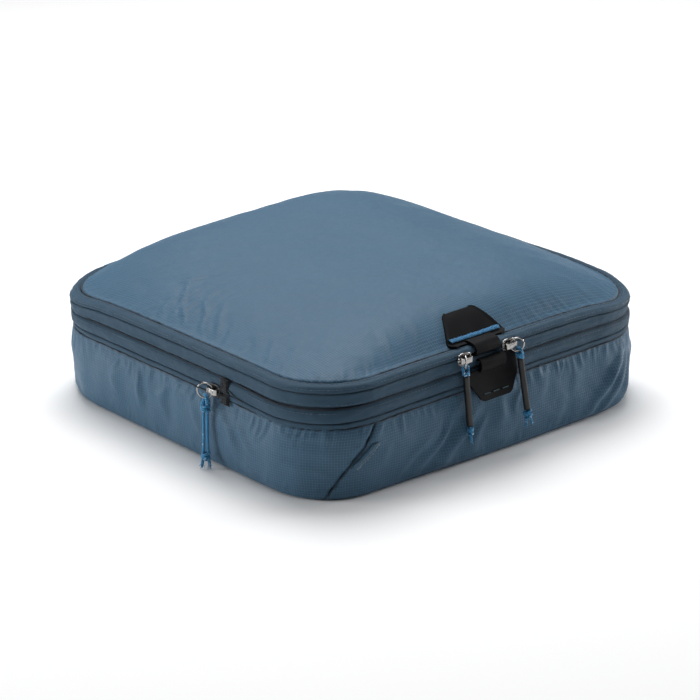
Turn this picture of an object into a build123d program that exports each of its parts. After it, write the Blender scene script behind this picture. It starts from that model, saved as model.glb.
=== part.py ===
from build123d import *
import os
from math import cos, pi, radians, sin, tan

# Packing cube: a soft travel organiser with a domed lid, an access zip and, below it, a
# compression zip that lets the cube grow taller. Millimetres, +Z up, front towards -Y.
# The origin is the centre of the flat base, on the surface that the cube stands on.

# Driving dimensions
WIDTH = 355.0  # along X
DEPTH = 336.0  # along Y
CORNER = 59.0  # radius of the rounded corners, in plan
CLOTH = 1.0  # thickness of the walls, base and lid
TAPE = 0.9  # thickness of the zip tape
BASE_SEAM = 57.0  # height where the walls meet the lower tape of the compression zip
COMPRESSION_ZIP = 62.0  # height where the compression zip closes
MIDDLE_SEAM = 73.0  # height of the seam between the two zips
ACCESS_ZIP = 83.9  # height where the access zip closes
LID_SEAM = 89.5  # height of the seam round the lid's cloth
ZIP_GAP = 1.0  # between the edges of the two tapes of a zip
COIL = 1.4  # height of one half of a zip's nylon coil
BASE_INSET = 5.0  # from the widest outline to the edge of the flat base
BASE_CORNER = 44.0  # radius of the flat base's corners

# Hardware
LEFT_SLIDER_X = -38.0
RIGHT_SLIDER_X = 8.0
COMPRESSION_SLIDER_Y = -53.0
FRONT_RING = 5.2  # radius of the front pulls' rings, to the middle of the wire
COMPRESSION_RING = 5.9
RING_WIRE = 1.3
FRONT_CORD = 1.6  # diameter of the front pulls' cord
COMPRESSION_CORD = 2.3  # and of the compression pull's
PULL_TUBE = 4.9  # outer diameter of the tube over a front pull
PULL_TUBE_BORE = 3.9
PULL_TUBE_LENGTH = 40.5
CORD_TAIL = 8.0  # from the middle of a knot to the cord's ends
UPPER_TAB_X = -15.0
LOWER_TAB_X = -11.0
TAB = 1.2  # thickness of the coated tabs

HALF_WIDTH = WIDTH / 2
HALF_DEPTH = DEPTH / 2

# The walls as stacked outlines, from the bottom up: (inset from the widest outline, height,
# corner radius). A negative inset bulges outwards, and the corners are tighter at the base.
WALLS = [
    (BASE_INSET, 0.0, BASE_CORNER), (2.4, 1.6, 48.0), (0.6, 5.0, 51.5), (-0.8, 12.0, 55.5),
    (-2.0, 25.0, 59.0), (-2.4, 36.0, 60.5), (-1.4, 47.0, 60.5), (0.3, BASE_SEAM, CORNER - 0.3),
]
# Outer lines of the bands that go round above the walls, from the bottom up: (inset, height).
COMPRESSION_LOWER_LINE = [(0.3, BASE_SEAM), (-0.6, COMPRESSION_ZIP - ZIP_GAP / 2)]
COMPRESSION_UPPER_LINE = [
    (-0.6, COMPRESSION_ZIP + ZIP_GAP / 2), (-1.0, 66.0), (-0.4, 70.0), (1.2, MIDDLE_SEAM),
]
ACCESS_LOWER_LINE = [(1.2, MIDDLE_SEAM), (0.2, 77.0), (0.0, ACCESS_ZIP - ZIP_GAP / 2)]
ACCESS_UPPER_LINE = [
    (0.0, ACCESS_ZIP + ZIP_GAP / 2), (0.3, 86.5), (1.7, 88.4), (4.5, 89.4), (8.0, LID_SEAM),
]
# The lid's cloth as stacked outlines: (inset, height, corner radius).
DOME = [
    (8.0, LID_SEAM, CORNER - 8.0), (14.0, 94.0, 48.0), (22.0, 101.5, 44.0), (34.0, 107.5, 40.0),
    (60.0, 112.5, 34.0), (100.0, 116.0, 24.0), (140.0, 117.5, 12.0),
]


def box(x, y, z):
    """A solid box from its three (low, high) pairs."""
    size = (x[1] - x[0], y[1] - y[0], z[1] - z[0])
    centre = ((x[0] + x[1]) / 2, (y[0] + y[1]) / 2, (z[0] + z[1]) / 2)
    return Pos(*centre) * Box(*size)


def strip(line, thickness):
    """Closed outline of a strip of that thickness, on the inner side of an outer line."""
    points = [Vector(*point) for point in line]
    inner = []
    for before, here, after in zip(points[:1] + points, points, points[1:] + points[-1:]):
        along = (after - before).normalized()
        inner.append(here + Vector(along.Y, -along.X) * thickness)
    return line + [(point.X, point.Y) for point in reversed(inner)]


def rim():
    """The widest outline as a closed path, anticlockwise from above."""
    return RectangleRounded(WIDTH, DEPTH, CORNER).face().outer_wire()


def rim_without_back():
    """The same outline, open along the straight part of the back."""
    back_end = HALF_WIDTH - CORNER - 1
    return FilletPolyline(
        (-back_end, HALF_DEPTH), (-HALF_WIDTH, HALF_DEPTH), (-HALF_WIDTH, -HALF_DEPTH),
        (HALF_WIDTH, -HALF_DEPTH), (HALF_WIDTH, HALF_DEPTH), (back_end, HALF_DEPTH),
        radius=CORNER,
    )


def section(outline, path):
    """A closed outline of (inset, height) points as a face across the start of a path."""
    start, along = path @ 0, path % 0
    inwards = Vector(0, 0, 1).cross(along)
    plane = Plane(origin=(start.X, start.Y, 0), x_dir=inwards, z_dir=along)
    points = [plane.from_local_coords((inset, height, 0)) for inset, height in outline]
    return make_face(Polyline(*points, close=True))


def band(outline, path):
    """A band round the cube with that outline as its section."""
    return sweep(section(outline, path), path=path)


def back_strip(outline):
    """A straight length along the back, between the two ends of the access zip."""
    half = HALF_WIDTH - CORNER - 1
    points = [(half, HALF_DEPTH - inset, height) for inset, height in outline]
    return extrude(make_face(Polyline(*points, close=True)), amount=2 * half, dir=(-1, 0, 0))


def block(inset, height):
    """A rectangular section from its (low, high) pairs."""
    return [
        (inset[0], height[0]), (inset[0], height[1]), (inset[1], height[1]), (inset[1], height[0]),
    ]


# Base: a flat panel and four walls. The walls meet at seams that slant down into the corners:
# the left wall goes round both of its corners, the front and right walls go round one each.
SEAM_TOP = 49.5  # from the side of the cube to the seam's top end
SEAM_BOTTOM = 22.5  # and to its bottom end
REACH = 400.0  # further than anything in the cube


def beyond_seam(limit, direction, across):
    """All of space on one side of a slanting seam. across is the axis that the seam faces."""
    slope = (SEAM_TOP - SEAM_BOTTOM) / BASE_SEAM
    outline = []
    for height in (-10.0, BASE_SEAM + 10.0):
        place = limit - direction * (SEAM_BOTTOM + slope * height)
        outline.append((place, height))
    (low, z_low), (high, z_high) = outline
    far = direction * REACH
    corners = [(low, z_low), (far, z_low), (far, z_high), (high, z_high)]
    if across == "X":
        points = [(place, -REACH, height) for place, height in corners]
        return extrude(make_face(Polyline(*points, close=True)), amount=2 * REACH, dir=(0, 1, 0))
    points = [(-REACH, place, height) for place, height in corners]
    return extrude(make_face(Polyline(*points, close=True)), amount=2 * REACH, dir=(1, 0, 0))


def stack(outlines, grow=0.0, drop=0.0):
    """The solid through stacked rounded outlines, each made smaller and lowered by that much."""
    faces = []
    for inset, height, radius in outlines:
        size = (WIDTH - 2 * (inset + grow), DEPTH - 2 * (inset + grow))
        faces.append(Pos(0, 0, height - drop) * RectangleRounded(*size, radius - grow))
    return loft(faces, ruled=True)


def base_block(inset, z):
    """An upright block over the flat base, that far inside the widest outline."""
    radius = BASE_CORNER - (inset - BASE_INSET)
    outline = RectangleRounded(WIDTH - 2 * inset, DEPTH - 2 * inset, radius)
    return Pos(0, 0, z[0]) * extrude(outline, amount=z[1] - z[0])


def make_walls():
    ring = stack(WALLS) - stack(WALLS, grow=CLOTH, drop=-CLOTH)
    ring -= base_block(BASE_INSET, (-CLOTH, 2 * CLOTH))
    left = beyond_seam(-HALF_WIDTH, -1, "X")
    front = beyond_seam(-HALF_DEPTH, -1, "Y")
    right = beyond_seam(HALF_WIDTH, 1, "X")
    back = beyond_seam(HALF_DEPTH, 1, "Y")
    return {
        "front_wall": (ring & front) - left,
        "right_wall": (ring & right) - front,
        "back_wall": (ring & back) - right - left,
        "left_wall": ring & left,
    }


def make_base_panel():
    return base_block(BASE_INSET + CLOTH / 4, (0.0, CLOTH))


def make_seam_label():
    """A folded care label, sewn into the slanting seam of the front wall."""
    outline = [(-143.2, 25.0), (-136.6, 25.0), (-128.0, 42.0), (-134.4, 42.0)]
    points = [(x, -HALF_DEPTH - 3.0, z) for x, z in outline]
    return extrude(make_face(Polyline(*points, close=True)), amount=0.9, dir=(0, -1, 0))


# The lid
def make_top_panel():
    return stack(DOME) - stack(DOME, grow=CLOTH, drop=CLOTH)


def slab_along_x(outline, middle, half):
    """A solid with that (y, z) outline, centred on x = middle."""
    points = [(middle - half, y, z) for y, z in outline]
    return extrude(make_face(Polyline(*points, close=True)), amount=2 * half, dir=(1, 0, 0))


def tab_line(lift):
    """The front of the lid in section, from the tab's lower edge up, lifted off the cloth."""
    line = [(7.0, LID_SEAM + 0.3)] + [(inset, height) for inset, height, _ in DOME[:4]]
    return [(inset - lift * 0.6, height + lift) for inset, height in line]


def make_upper_tab():
    """The coated grab tab on the lid, with the loop that hangs over the zip."""
    lower = tab_line(0.5)
    upper = tab_line(0.5 + TAB)
    outline = [(-HALF_DEPTH + inset, height) for inset, height in lower + upper[::-1]]
    sheet = slab_along_x(outline, UPPER_TAB_X, 30)
    plan = [(-15.5, 34.0), (15.5, 34.0), (28.5, 11.0), (26.0, 5.0), (-26.0, 5.0), (-28.5, 11.0)]
    points = [(UPPER_TAB_X + x, -HALF_DEPTH + inset, 80) for x, inset in plan]
    shape = extrude(make_face(Polyline(*points, close=True)), amount=40)
    loop = [
        (8.0, 90.3), (8.0, 91.6), (4.6, 91.6), (0.6, 90.2), (-2.0, 88.6), (-2.6, 86.4),
        (-1.9, 85.2), (-0.9, 85.0), (-0.5, 86.6), (0.7, 88.9), (4.0, 90.0),
    ]
    loop_outline = [(-HALF_DEPTH + inset, height) for inset, height in loop]
    return (sheet & shape) + slab_along_x(loop_outline, UPPER_TAB_X, 12.5)


def make_upper_tab_bartack():
    """The row of coloured stitching across the lower edge of the upper tab."""
    inset, height, _ = DOME[1]
    centre = (UPPER_TAB_X, -HALF_DEPTH + inset - 2.9, height + 0.75)
    return Pos(*centre) * Rot(X=37) * Box(50.0, 2.2, 0.6)


def make_lower_tab():
    """The coated grab tab below the zip: a loop at its top and a tapered end."""
    outline = [
        (-5.0, 79.0), (-3.2, 80.2), (-1.4, 79.0), (-1.4, 74.0), (-2.0, 70.0), (-3.0, 56.0),
        (-4.0, 47.5), (-4.0 - TAB, 47.5), (-3.0 - TAB, 56.0), (-2.0 - TAB, 70.0), (-5.0, 73.0),
    ]
    points = [(-HALF_DEPTH + inset, height) for inset, height in outline]
    sheet = slab_along_x(points, LOWER_TAB_X, 30)
    front = [
        (-13, 81), (13, 81), (13, 70), (24.5, 69.5), (24.5, 63), (15, 47), (-15, 47),
        (-24.5, 63), (-24.5, 69.5), (-13, 70),
    ]
    shape_points = [(LOWER_TAB_X + x, -HALF_DEPTH - 20, z) for x, z in front]
    shape = extrude(make_face(Polyline(*shape_points, close=True)), amount=40, dir=(0, 1, 0))
    return sheet & shape


def make_lower_tab_stitches():
    """Three dashes of stitching along the lower edge of the lower tab."""
    dashes = [
        Pos(LOWER_TAB_X + x, -HALF_DEPTH - 3.65 - TAB - 0.25, 51.5) * Box(6.0, 0.4, 1.2)
        for x in (-10.0, 0.0, 10.0)
    ]
    return Compound(children=dashes)


def make_zip_garage(height):
    """Half of the black end piece where the compression zip starts and stops."""
    return box((-HALF_WIDTH - 2.3, -HALF_WIDTH - 1.1), (-68.0, -60.2), height)


# Sliders, each in the frame of a plane whose x runs along the zip, y up and z outwards, with
# its origin on the tape where the zip closes.
PLATE_GAP = 0.4  # between a slider's front plate and the tape
PLATE = 1.0  # thickness of the front plate
TUNNEL = 2.8  # clear height under the crown
RING_OUT = PLATE_GAP + PLATE + TUNNEL / 2  # from the tape to the ring's pivot
CROWN_HALF = 2.0  # half the crown's width


def make_slider(plane, back_depth):
    """Front plate, crown, neck between the two tapes and back plate."""
    boat = [
        (-6.4, -3.2), (-3.4, -4.8), (3.4, -4.8), (6.4, -3.2),
        (6.4, 3.2), (3.4, 4.8), (-3.4, 4.8), (-6.4, 3.2),
    ]
    outline = make_face(Polyline(*boat, close=True))
    front = Pos(0, 0, PLATE_GAP) * extrude(outline, amount=PLATE)
    top = PLATE_GAP + PLATE + TUNNEL
    arch = [
        (-5.6, 1.2), (-5.6, top), (-4.6, top + 1.2), (4.6, top + 1.2), (5.6, top), (5.6, 1.2),
        (4.4, 1.2), (4.4, top), (-4.4, top), (-4.4, 1.2),
    ]
    profile = [(along, -CROWN_HALF, out) for along, out in arch]
    crown = extrude(
        make_face(Polyline(*profile, close=True)), amount=2 * CROWN_HALF, dir=(0, 1, 0)
    )
    neck = box((-1.5, 1.5), (-0.3, 0.3), (-back_depth - 0.1, PLATE_GAP + 0.1))
    back = box((-5.4, 5.4), (-3.0, 3.0), (-back_depth - 0.9, -back_depth))
    return plane * (front + crown + neck + back)


def ring_direction(plane, side, swing):
    """Level direction from the ring's pivot to its centre."""
    return plane.x_dir * (side * cos(radians(swing))) + plane.z_dir * sin(radians(swing))


def ring_centre(plane, direction, radius):
    return plane.origin + plane.z_dir * RING_OUT + direction * radius


def make_ring(plane, direction, radius):
    centre = ring_centre(plane, direction, radius)
    ring_plane = Plane(origin=centre, x_dir=direction, z_dir=direction.cross(Vector(0, 0, 1)))
    return ring_plane * Torus(radius, RING_WIRE / 2)


def pull_location(plane, side, direction, radius, hang, lean_out, lean_side):
    """Frame of a pull: origin in its ring's wire, x along the wire's bottom, z up.

    hang is how far round the ring the pull hangs, in degrees from the ring's lowest point.
    """
    bottom = direction * sin(radians(hang)) - Vector(0, 0, 1) * cos(radians(hang))
    wire = ring_centre(plane, direction, radius) + bottom * radius
    frame = Plane(origin=wire, x_dir=direction * side, z_dir=Vector(0, 0, 1))
    return frame.location * Rot(X=lean_out) * Rot(Y=lean_side)


def cord_route(strand, bight, length, tail):
    """Points of a cord that is folded over the ring's wire, with both ends below its knot.

    strand is half the distance between the two hanging strands, bight the height of the fold
    above the wire, length the distance from the wire to the knot's middle.
    """
    half = [
        (-strand - 1.4, -0.5, -length - tail), (-strand, 0.0, -length + 1.5),
        (-strand, 0.3, -6.4), (-1.6, bight - 0.2, -2.0), (-1.3, bight - 0.1, bight),
    ]
    return half + [(-x, -y, z) for x, y, z in reversed(half)]


def fillet_radii(points):
    """The largest arc that the two runs beside each point allow."""
    places = [Vector(*point) for point in points]
    radii = []
    for before, here, after in zip(places, places[1:], places[2:]):
        turn = (here - before).get_angle(after - here)
        shorter = min((here - before).length, (after - here).length)
        radii.append(0.45 * shorter / tan(radians(turn) / 2))
    return radii


def make_cord(points, diameter, name):
    radii = fillet_radii(points)
    path = FilletPolyline(*points, radius=radii)
    cord = sweep(Plane(path @ 0, z_dir=path % 0) * Circle(diameter / 2), path=path)
    share = cord.volume / (path.length * pi * diameter**2 / 4)
    shown = ", ".join(f"{radius:.1f}" for radius in radii)
    print(f"{name}: length {path.length:.1f}, volume share {share:.4f}, radii {shown}")
    return cord


def make_front_pull(name, place):
    """A cord looped over the ring, with a tube over both strands and a knot under the tube."""
    route = cord_route(strand=0.95, bight=2.3, length=50.5, tail=CORD_TAIL)
    cord = make_cord(route, FRONT_CORD, f"cord_{name}")
    hitch = Pos(0, 0, -3.7) * Cylinder(2.9, 4.6)
    outside = Cylinder(PULL_TUBE / 2, PULL_TUBE_LENGTH)
    tube = Pos(0, 0, -26.4) * (outside - Cylinder(PULL_TUBE_BORE / 2, PULL_TUBE_LENGTH + 1))
    knot = Pos(0, 0, -50.1) * (Sphere(3.4) & Box(8.0, 5.4, 6.4))
    return {
        f"pull_cord_{name}": place * cord,
        f"pull_hitch_{name}": place * hitch,
        f"pull_tube_{name}": place * tube,
        f"pull_knot_{name}": place * knot,
    }


def make_compression_pull(place):
    """A thicker cord looped over the ring, held by a hitch and an overhand knot."""
    route = cord_route(strand=1.45, bight=2.4, length=45.5, tail=CORD_TAIL)
    cord = make_cord(route, COMPRESSION_CORD, "cord_compression")
    hitch = Pos(0, 0, -8.0) * (Cylinder(3.6, 8.6) & Box(7.2, 5.4, 10.0))
    knot = Pos(0, 0, -45.5) * (Sphere(4.0) & Box(7.4, 6.2, 7.4))
    return {
        "compression_cord": place * cord,
        "compression_hitch": place * hitch,
        "compression_knot": place * knot,
    }


def make_hardware():
    front_left = Plane(
        origin=(LEFT_SLIDER_X, -HALF_DEPTH, ACCESS_ZIP), x_dir=(1, 0, 0), z_dir=(0, -1, 0)
    )
    front_right = Plane(
        origin=(RIGHT_SLIDER_X, -HALF_DEPTH, ACCESS_ZIP), x_dir=(1, 0, 0), z_dir=(0, -1, 0)
    )
    left_side = Plane(
        origin=(-HALF_WIDTH - 1.0, COMPRESSION_SLIDER_Y, COMPRESSION_ZIP),
        x_dir=(0, -1, 0), z_dir=(-1, 0, 0),
    )
    parts = {}
    # Each pull: its slider's plane, the side that its ring points to, how far the ring swings
    # out, how far round the ring it hangs, and how far it leans out and sideways, in degrees.
    pulls = [
        ("left", front_left, -1, 46.0, 0.0, -5.0, -4.0),
        ("right", front_right, 1, 35.0, 20.0, -5.0, -8.0),
    ]
    for name, plane, side, swing, hang, lean_out, lean_side in pulls:
        direction = ring_direction(plane, side, swing)
        place = pull_location(plane, side, direction, FRONT_RING, hang, lean_out, lean_side)
        parts[f"slider_{name}"] = make_slider(plane, 2.6)
        parts[f"pull_ring_{name}"] = make_ring(plane, direction, FRONT_RING)
        parts.update(make_front_pull(name, place))
    direction = ring_direction(left_side, -1, 40.0)
    place = pull_location(left_side, -1, direction, COMPRESSION_RING, 0.0, -3.0, 0.0)
    parts["compression_slider"] = make_slider(left_side, 3.2)
    parts["compression_ring"] = make_ring(left_side, direction, COMPRESSION_RING)
    parts.update(make_compression_pull(place))
    return parts


def make_bands():
    """The zips, the linings and the bindings, which all run round the cube."""
    whole, open_back = rim(), rim_without_back()
    half_gap = ZIP_GAP / 2
    return {
        "compression_tape_lower": band(strip(COMPRESSION_LOWER_LINE, TAPE), whole),
        "compression_coil_lower": band(
            block((0.6, 1.8), (COMPRESSION_ZIP - half_gap - COIL, COMPRESSION_ZIP - half_gap)), whole
        ),
        "compression_tape_upper": band(strip(COMPRESSION_UPPER_LINE, TAPE), whole),
        "compression_coil_upper": band(
            block((0.6, 1.8), (COMPRESSION_ZIP + half_gap, COMPRESSION_ZIP + half_gap + COIL)), whole
        ),
        "access_tape_lower": band(strip(ACCESS_LOWER_LINE, TAPE), open_back),
        "access_coil_lower": band(
            block((1.0, 2.2), (ACCESS_ZIP - half_gap - COIL, ACCESS_ZIP - half_gap)), open_back
        ),
        "access_tape_upper": band(strip(ACCESS_UPPER_LINE, TAPE), open_back),
        "access_coil_upper": band(
            block((1.3, 2.4), (ACCESS_ZIP + half_gap, ACCESS_ZIP + half_gap + COIL)), open_back
        ),
        "hinge_strip_lower": back_strip(strip(ACCESS_LOWER_LINE, TAPE)),
        "hinge_strip_upper": back_strip(strip(ACCESS_UPPER_LINE, TAPE)),
        "expansion_gusset": band(block((5.0, 6.0), (BASE_SEAM + 0.5, MIDDLE_SEAM - 0.5)), whole),
        "base_binding": band(block((1.8, 3.4), (50.0, 56.5)), whole),
        "middle_binding": band(block((2.3, 4.0), (69.5, 76.5)), whole),
        "lid_binding": band(block((9.2, 10.6), (82.0, 88.2)), whole),
    }


def main():
    os.makedirs("parts", exist_ok=True)
    parts = {"base_panel": make_base_panel(), "seam_label": make_seam_label()}
    parts.update(make_walls())
    parts.update(make_bands())
    parts["top_panel"] = make_top_panel()
    parts["upper_tab"] = make_upper_tab()
    parts["upper_tab_bartack"] = make_upper_tab_bartack()
    parts["lower_tab"] = make_lower_tab()
    parts["lower_tab_stitches"] = make_lower_tab_stitches()
    parts["zip_garage_lower"] = make_zip_garage((53.0, COMPRESSION_ZIP - ZIP_GAP / 2))
    parts["zip_garage_upper"] = make_zip_garage((COMPRESSION_ZIP + ZIP_GAP / 2, 74.0))
    parts.update(make_hardware())
    for name, part in parts.items():
        export_step(part, f"parts/{name}.step")


main()
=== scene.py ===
from math import cos, pi, radians, sin

import bmesh
import bpy
import numpy as np
from mathutils import Matrix, Vector


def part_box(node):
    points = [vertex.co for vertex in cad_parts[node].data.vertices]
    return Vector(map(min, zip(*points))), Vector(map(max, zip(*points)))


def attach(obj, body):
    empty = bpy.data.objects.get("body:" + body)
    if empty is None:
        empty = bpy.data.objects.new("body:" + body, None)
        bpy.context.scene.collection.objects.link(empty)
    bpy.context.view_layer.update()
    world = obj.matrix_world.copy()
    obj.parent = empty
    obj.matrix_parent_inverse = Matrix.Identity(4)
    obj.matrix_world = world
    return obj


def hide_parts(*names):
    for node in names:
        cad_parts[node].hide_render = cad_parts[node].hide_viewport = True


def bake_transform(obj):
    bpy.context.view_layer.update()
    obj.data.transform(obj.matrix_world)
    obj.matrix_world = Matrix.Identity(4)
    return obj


# The look of the packing cube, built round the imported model. Shapes are worked out in
# millimetres, in the model's frame, and turned into metres as each mesh is made.
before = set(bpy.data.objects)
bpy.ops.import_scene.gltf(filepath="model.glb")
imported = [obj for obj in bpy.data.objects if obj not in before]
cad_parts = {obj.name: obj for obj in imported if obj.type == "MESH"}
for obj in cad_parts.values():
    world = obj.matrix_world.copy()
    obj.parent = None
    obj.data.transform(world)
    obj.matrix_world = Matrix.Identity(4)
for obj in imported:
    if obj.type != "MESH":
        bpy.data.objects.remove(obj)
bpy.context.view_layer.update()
MM = 0.001


def low(node):
    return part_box(node)[0] / MM


def high(node):
    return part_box(node)[1] / MM


def centre_of(node, axis):
    return (low(node)[axis] + high(node)[axis]) / 2


# Driving places, read from the frame, and the radius of the plan's corners
HALF_WIDTH = high("access_tape_lower").x
HALF_DEPTH = -low("access_tape_lower").y
CORNER = 59.0
BASE_SEAM = high("front_wall").z
COMPRESSION_ZIP = (high("compression_tape_lower").z + low("compression_tape_upper").z) / 2
MIDDLE_SEAM = low("access_tape_lower").z
ACCESS_ZIP = (high("access_tape_lower").z + low("access_tape_upper").z) / 2
LID_SEAM = low("top_panel").z
X, Y = 0, 1
SLIDER_LEFT, SLIDER_RIGHT = centre_of("slider_left", X), centre_of("slider_right", X)
COMPRESSION_SLIDER = centre_of("compression_slider", Y)
UPPER_TAB_X, LOWER_TAB_X = centre_of("upper_tab", X), centre_of("lower_tab", X)


# ---------------------------------------------------------------- numbers and fields

def smooth(x, start, end):
    """0 before start, 1 after end and a smooth step between."""
    t = np.clip((x - start) / (end - start), 0.0, 1.0)
    return t * t * (3 - 2 * t)


def ripples(a, b, length, seed, count=9):
    """Smooth irregular ripples between about -1 and 1 over the plane (a, b)."""
    rng = np.random.default_rng(seed)
    total = 0.0
    for _ in range(count):
        turn, phase = rng.uniform(0, pi), rng.uniform(0, 2 * pi)
        wave = length * rng.uniform(0.7, 1.6)
        total = total + np.sin(2 * pi * (a * cos(turn) + b * sin(turn)) / wave + phase)
    return total / count**0.5


def folds(a, b, strokes, fade_both=True):
    """Height of folds over the plane (a, b), in mm.

    A stroke is (start a, start b, end a, end b, width, height). It has a crest with a trough on
    one side, and it dies away at both ends, or only at its end, as a gather does from its seam.
    """
    total = np.zeros(np.broadcast(a, b).shape)
    for a0, b0, a1, b1, width, height in strokes:
        da, db = a1 - a0, b1 - b0
        long = np.hypot(da, db)
        along = ((a - a0) * da + (b - b0) * db) / long**2
        side = ((a - a0) * db - (b - b0) * da) / long
        if fade_both:
            reach = np.sin(pi * np.clip(along, 0, 1)) ** 0.7
        else:
            reach = smooth(along, -0.15, 0.08) * (1 - smooth(along, 0.15, 1.0))
        spread = width * (1 + 0.5 * np.clip(along, 0, 1))
        crest = np.exp(-((side / spread) ** 2))
        trough = np.exp(-(((side + 1.9 * spread) / (1.25 * spread)) ** 2))
        total += height * reach * (crest - 0.5 * trough)
    return total


def along_line(x, points):
    """Smooth value at x of a line through (x, value) points."""
    xs, values = [p[0] for p in points], [p[1] for p in points]
    fine = np.linspace(xs[0], xs[-1], 200)
    straight = np.interp(fine, xs, values)
    kernel = np.hanning(21)
    padded = np.pad(straight, 10, mode="edge")
    return np.interp(x, fine, np.convolve(padded, kernel / kernel.sum(), mode="valid"))


def length_along(points):
    """Distance along a line from its start, at each of its points."""
    return np.concatenate([[0], np.cumsum(np.linalg.norm(np.diff(points, axis=0), axis=1))])


def profile(points, count):
    """Evenly spaced points on a smooth curve through the given points."""
    p = np.array(points, float)
    p = np.vstack([2 * p[0] - p[1], p, 2 * p[-1] - p[-2]])
    t = np.linspace(0, 1, 12)[:, None]
    curve = []
    for p0, p1, p2, p3 in zip(p, p[1:], p[2:], p[3:]):
        curve.append(
            0.5 * (2 * p1 + (p2 - p0) * t + (2 * p0 - 5 * p1 + 4 * p2 - p3) * t**2
                   + (3 * p1 - p0 - 3 * p2 + p3) * t**3)
        )
    curve = np.vstack(curve)
    run = length_along(curve)
    at = np.linspace(0, run[-1], count)
    return np.stack([np.interp(at, run, curve[:, k]) for k in range(p.shape[1])], axis=1)


# ---------------------------------------------------------------- the rim, in plan

STRAIGHT_X = HALF_WIDTH - CORNER
STRAIGHT_Y = HALF_DEPTH - CORNER
QUARTER = pi / 2 * CORNER
AROUND = 4 * (STRAIGHT_X + STRAIGHT_Y + QUARTER)
CORNER_MIDDLES = [
    STRAIGHT_X + QUARTER / 2, STRAIGHT_X + 2 * STRAIGHT_Y + 1.5 * QUARTER,
    AROUND - STRAIGHT_X - 2 * STRAIGHT_Y - 1.5 * QUARTER, AROUND - STRAIGHT_X - QUARTER / 2,
]


def rim(s, inset):
    """Points (x, y) and outward normals at that distance round the rim.

    s starts at the middle of the front and grows anticlockwise, seen from above. inset is how
    far inside the widest outline the point lies.
    """
    s = np.asarray(s, float) % AROUND
    x_run, y_run = 2 * STRAIGHT_X, 2 * STRAIGHT_Y
    ends = np.cumsum(
        [0, STRAIGHT_X, QUARTER, y_run, QUARTER, x_run, QUARTER, y_run, QUARTER, STRAIGHT_X]
    )
    turn = np.interp(s, ends, pi / 2 * np.array([0, 0, 1, 1, 2, 2, 3, 3, 4, 4]))
    x = np.interp(s, ends, STRAIGHT_X * np.array([0, 1, 1, 1, 1, -1, -1, -1, -1, 0]))
    y = np.interp(s, ends, STRAIGHT_Y * np.array([-1, -1, -1, 1, 1, 1, 1, -1, -1, -1]))
    out_x, out_y = np.sin(turn), -np.cos(turn)
    return x + out_x * (CORNER - inset), y + out_y * (CORNER - inset), out_x, out_y


def left_side(y):
    """Distance round the rim of a place on the straight left side."""
    return -(STRAIGHT_X + QUARTER) - (y + STRAIGHT_Y)


def both_ways(s):
    """The same distance, counted both ways from its start: from -AROUND / 2 to AROUND / 2."""
    return (s + AROUND / 2) % AROUND - AROUND / 2


def away_from_hardware(s):
    """1 where the cloth may wander, 0 along the straight stretches where sliders travel."""
    s = both_ways(s)
    front = smooth(np.abs(s + 2), 108, 145)
    side = smooth(np.abs(s - left_side(12)), 78, 104)
    return np.minimum(front, side)


def corner_sag(s):
    """How far the top of each corner hangs down, from the front right one round."""
    sag = 0.0
    for corner, depth in zip(CORNER_MIDDLES, (6.0, 2.0, 4.5, 1.0)):
        sag = sag + depth * np.exp(-((both_ways(s - corner) / 52) ** 2))
    return sag


def sway(s, z):
    """How far the cloth wanders (outwards, upwards) at a place round the rim."""
    free = 0.25 + 0.75 * away_from_hardware(s)
    out = 0.7 * ripples(s, z * 2.0, 150, 11) + 0.35 * ripples(s, z * 3.0, 46, 12)
    up = 0.9 * ripples(s, 0 * s, 170, 13)
    hold = 1 - smooth(z, 86, 92)
    up = up * free * smooth(z, 20, 60) * hold - corner_sag(s) * smooth(z, 60, 90)
    return out * free * hold, up


# ---------------------------------------------------------------- meshes

def add_object(name, mesh, body=None, replaces=(), materials=()):
    """A new piece with its materials, riding on a body and standing for CAD nodes."""
    piece = bpy.data.objects.new(name, mesh)
    bpy.context.scene.collection.objects.link(piece)
    for material in materials:
        piece.data.materials.append(material)
    if body:
        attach(piece, body)
    if replaces:
        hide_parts(*replaces)
    return piece


def grid_mesh(name, points, weave, closed=False):
    """A mesh from rows of points in mm, with its UV map in mm along and across the cloth."""
    rows, columns = points.shape[:2]
    mesh = bpy.data.meshes.new(name)
    number = np.arange(rows * columns).reshape(rows, columns)
    across = np.arange(columns) if closed else np.arange(columns - 1)
    nxt = (across + 1) % columns
    quads = np.stack(
        [number[:-1][:, across], number[:-1][:, nxt], number[1:][:, nxt], number[1:][:, across]],
        axis=-1,
    ).reshape(-1, 4)
    mesh.from_pydata((points.reshape(-1, 3) * MM).tolist(), [], quads.tolist())
    uv = weave.reshape(-1, 2)[quads.ravel()].copy()
    if closed:
        last = np.tile(across == columns - 1, rows - 1)
        step = weave[0, 1, 0] - weave[0, 0, 0]
        corner = uv.reshape(-1, 4, 2)
        corner[last, 1:3, 0] = corner[last, 0:1, 0] + step
        uv = corner.reshape(-1, 2)
    layer = mesh.uv_layers.new(name="weave")
    layer.data.foreach_set("uv", (uv * MM).astype(np.float32).ravel())
    mesh.polygons.foreach_set("use_smooth", [True] * len(mesh.polygons))
    mesh.update()
    return mesh


def thicken(piece, thickness, offset=-1.0):
    """Gives a sheet its thickness, on the inner side unless offset says otherwise."""
    modifier = piece.modifiers.new("thickness", "SOLIDIFY")
    modifier.thickness = thickness * MM
    modifier.offset = offset
    modifier.use_quality_normals = True
    return piece


def cloth_sheet(name, points, weave, body, replaces, material, thickness, offset=-1.0,
                closed=False):
    """A sheet of cloth through rows of points, with its material and its thickness."""
    mesh = grid_mesh(name, points, weave, closed)
    return thicken(add_object(name, mesh, body, replaces, [material]), thickness, offset)


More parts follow.
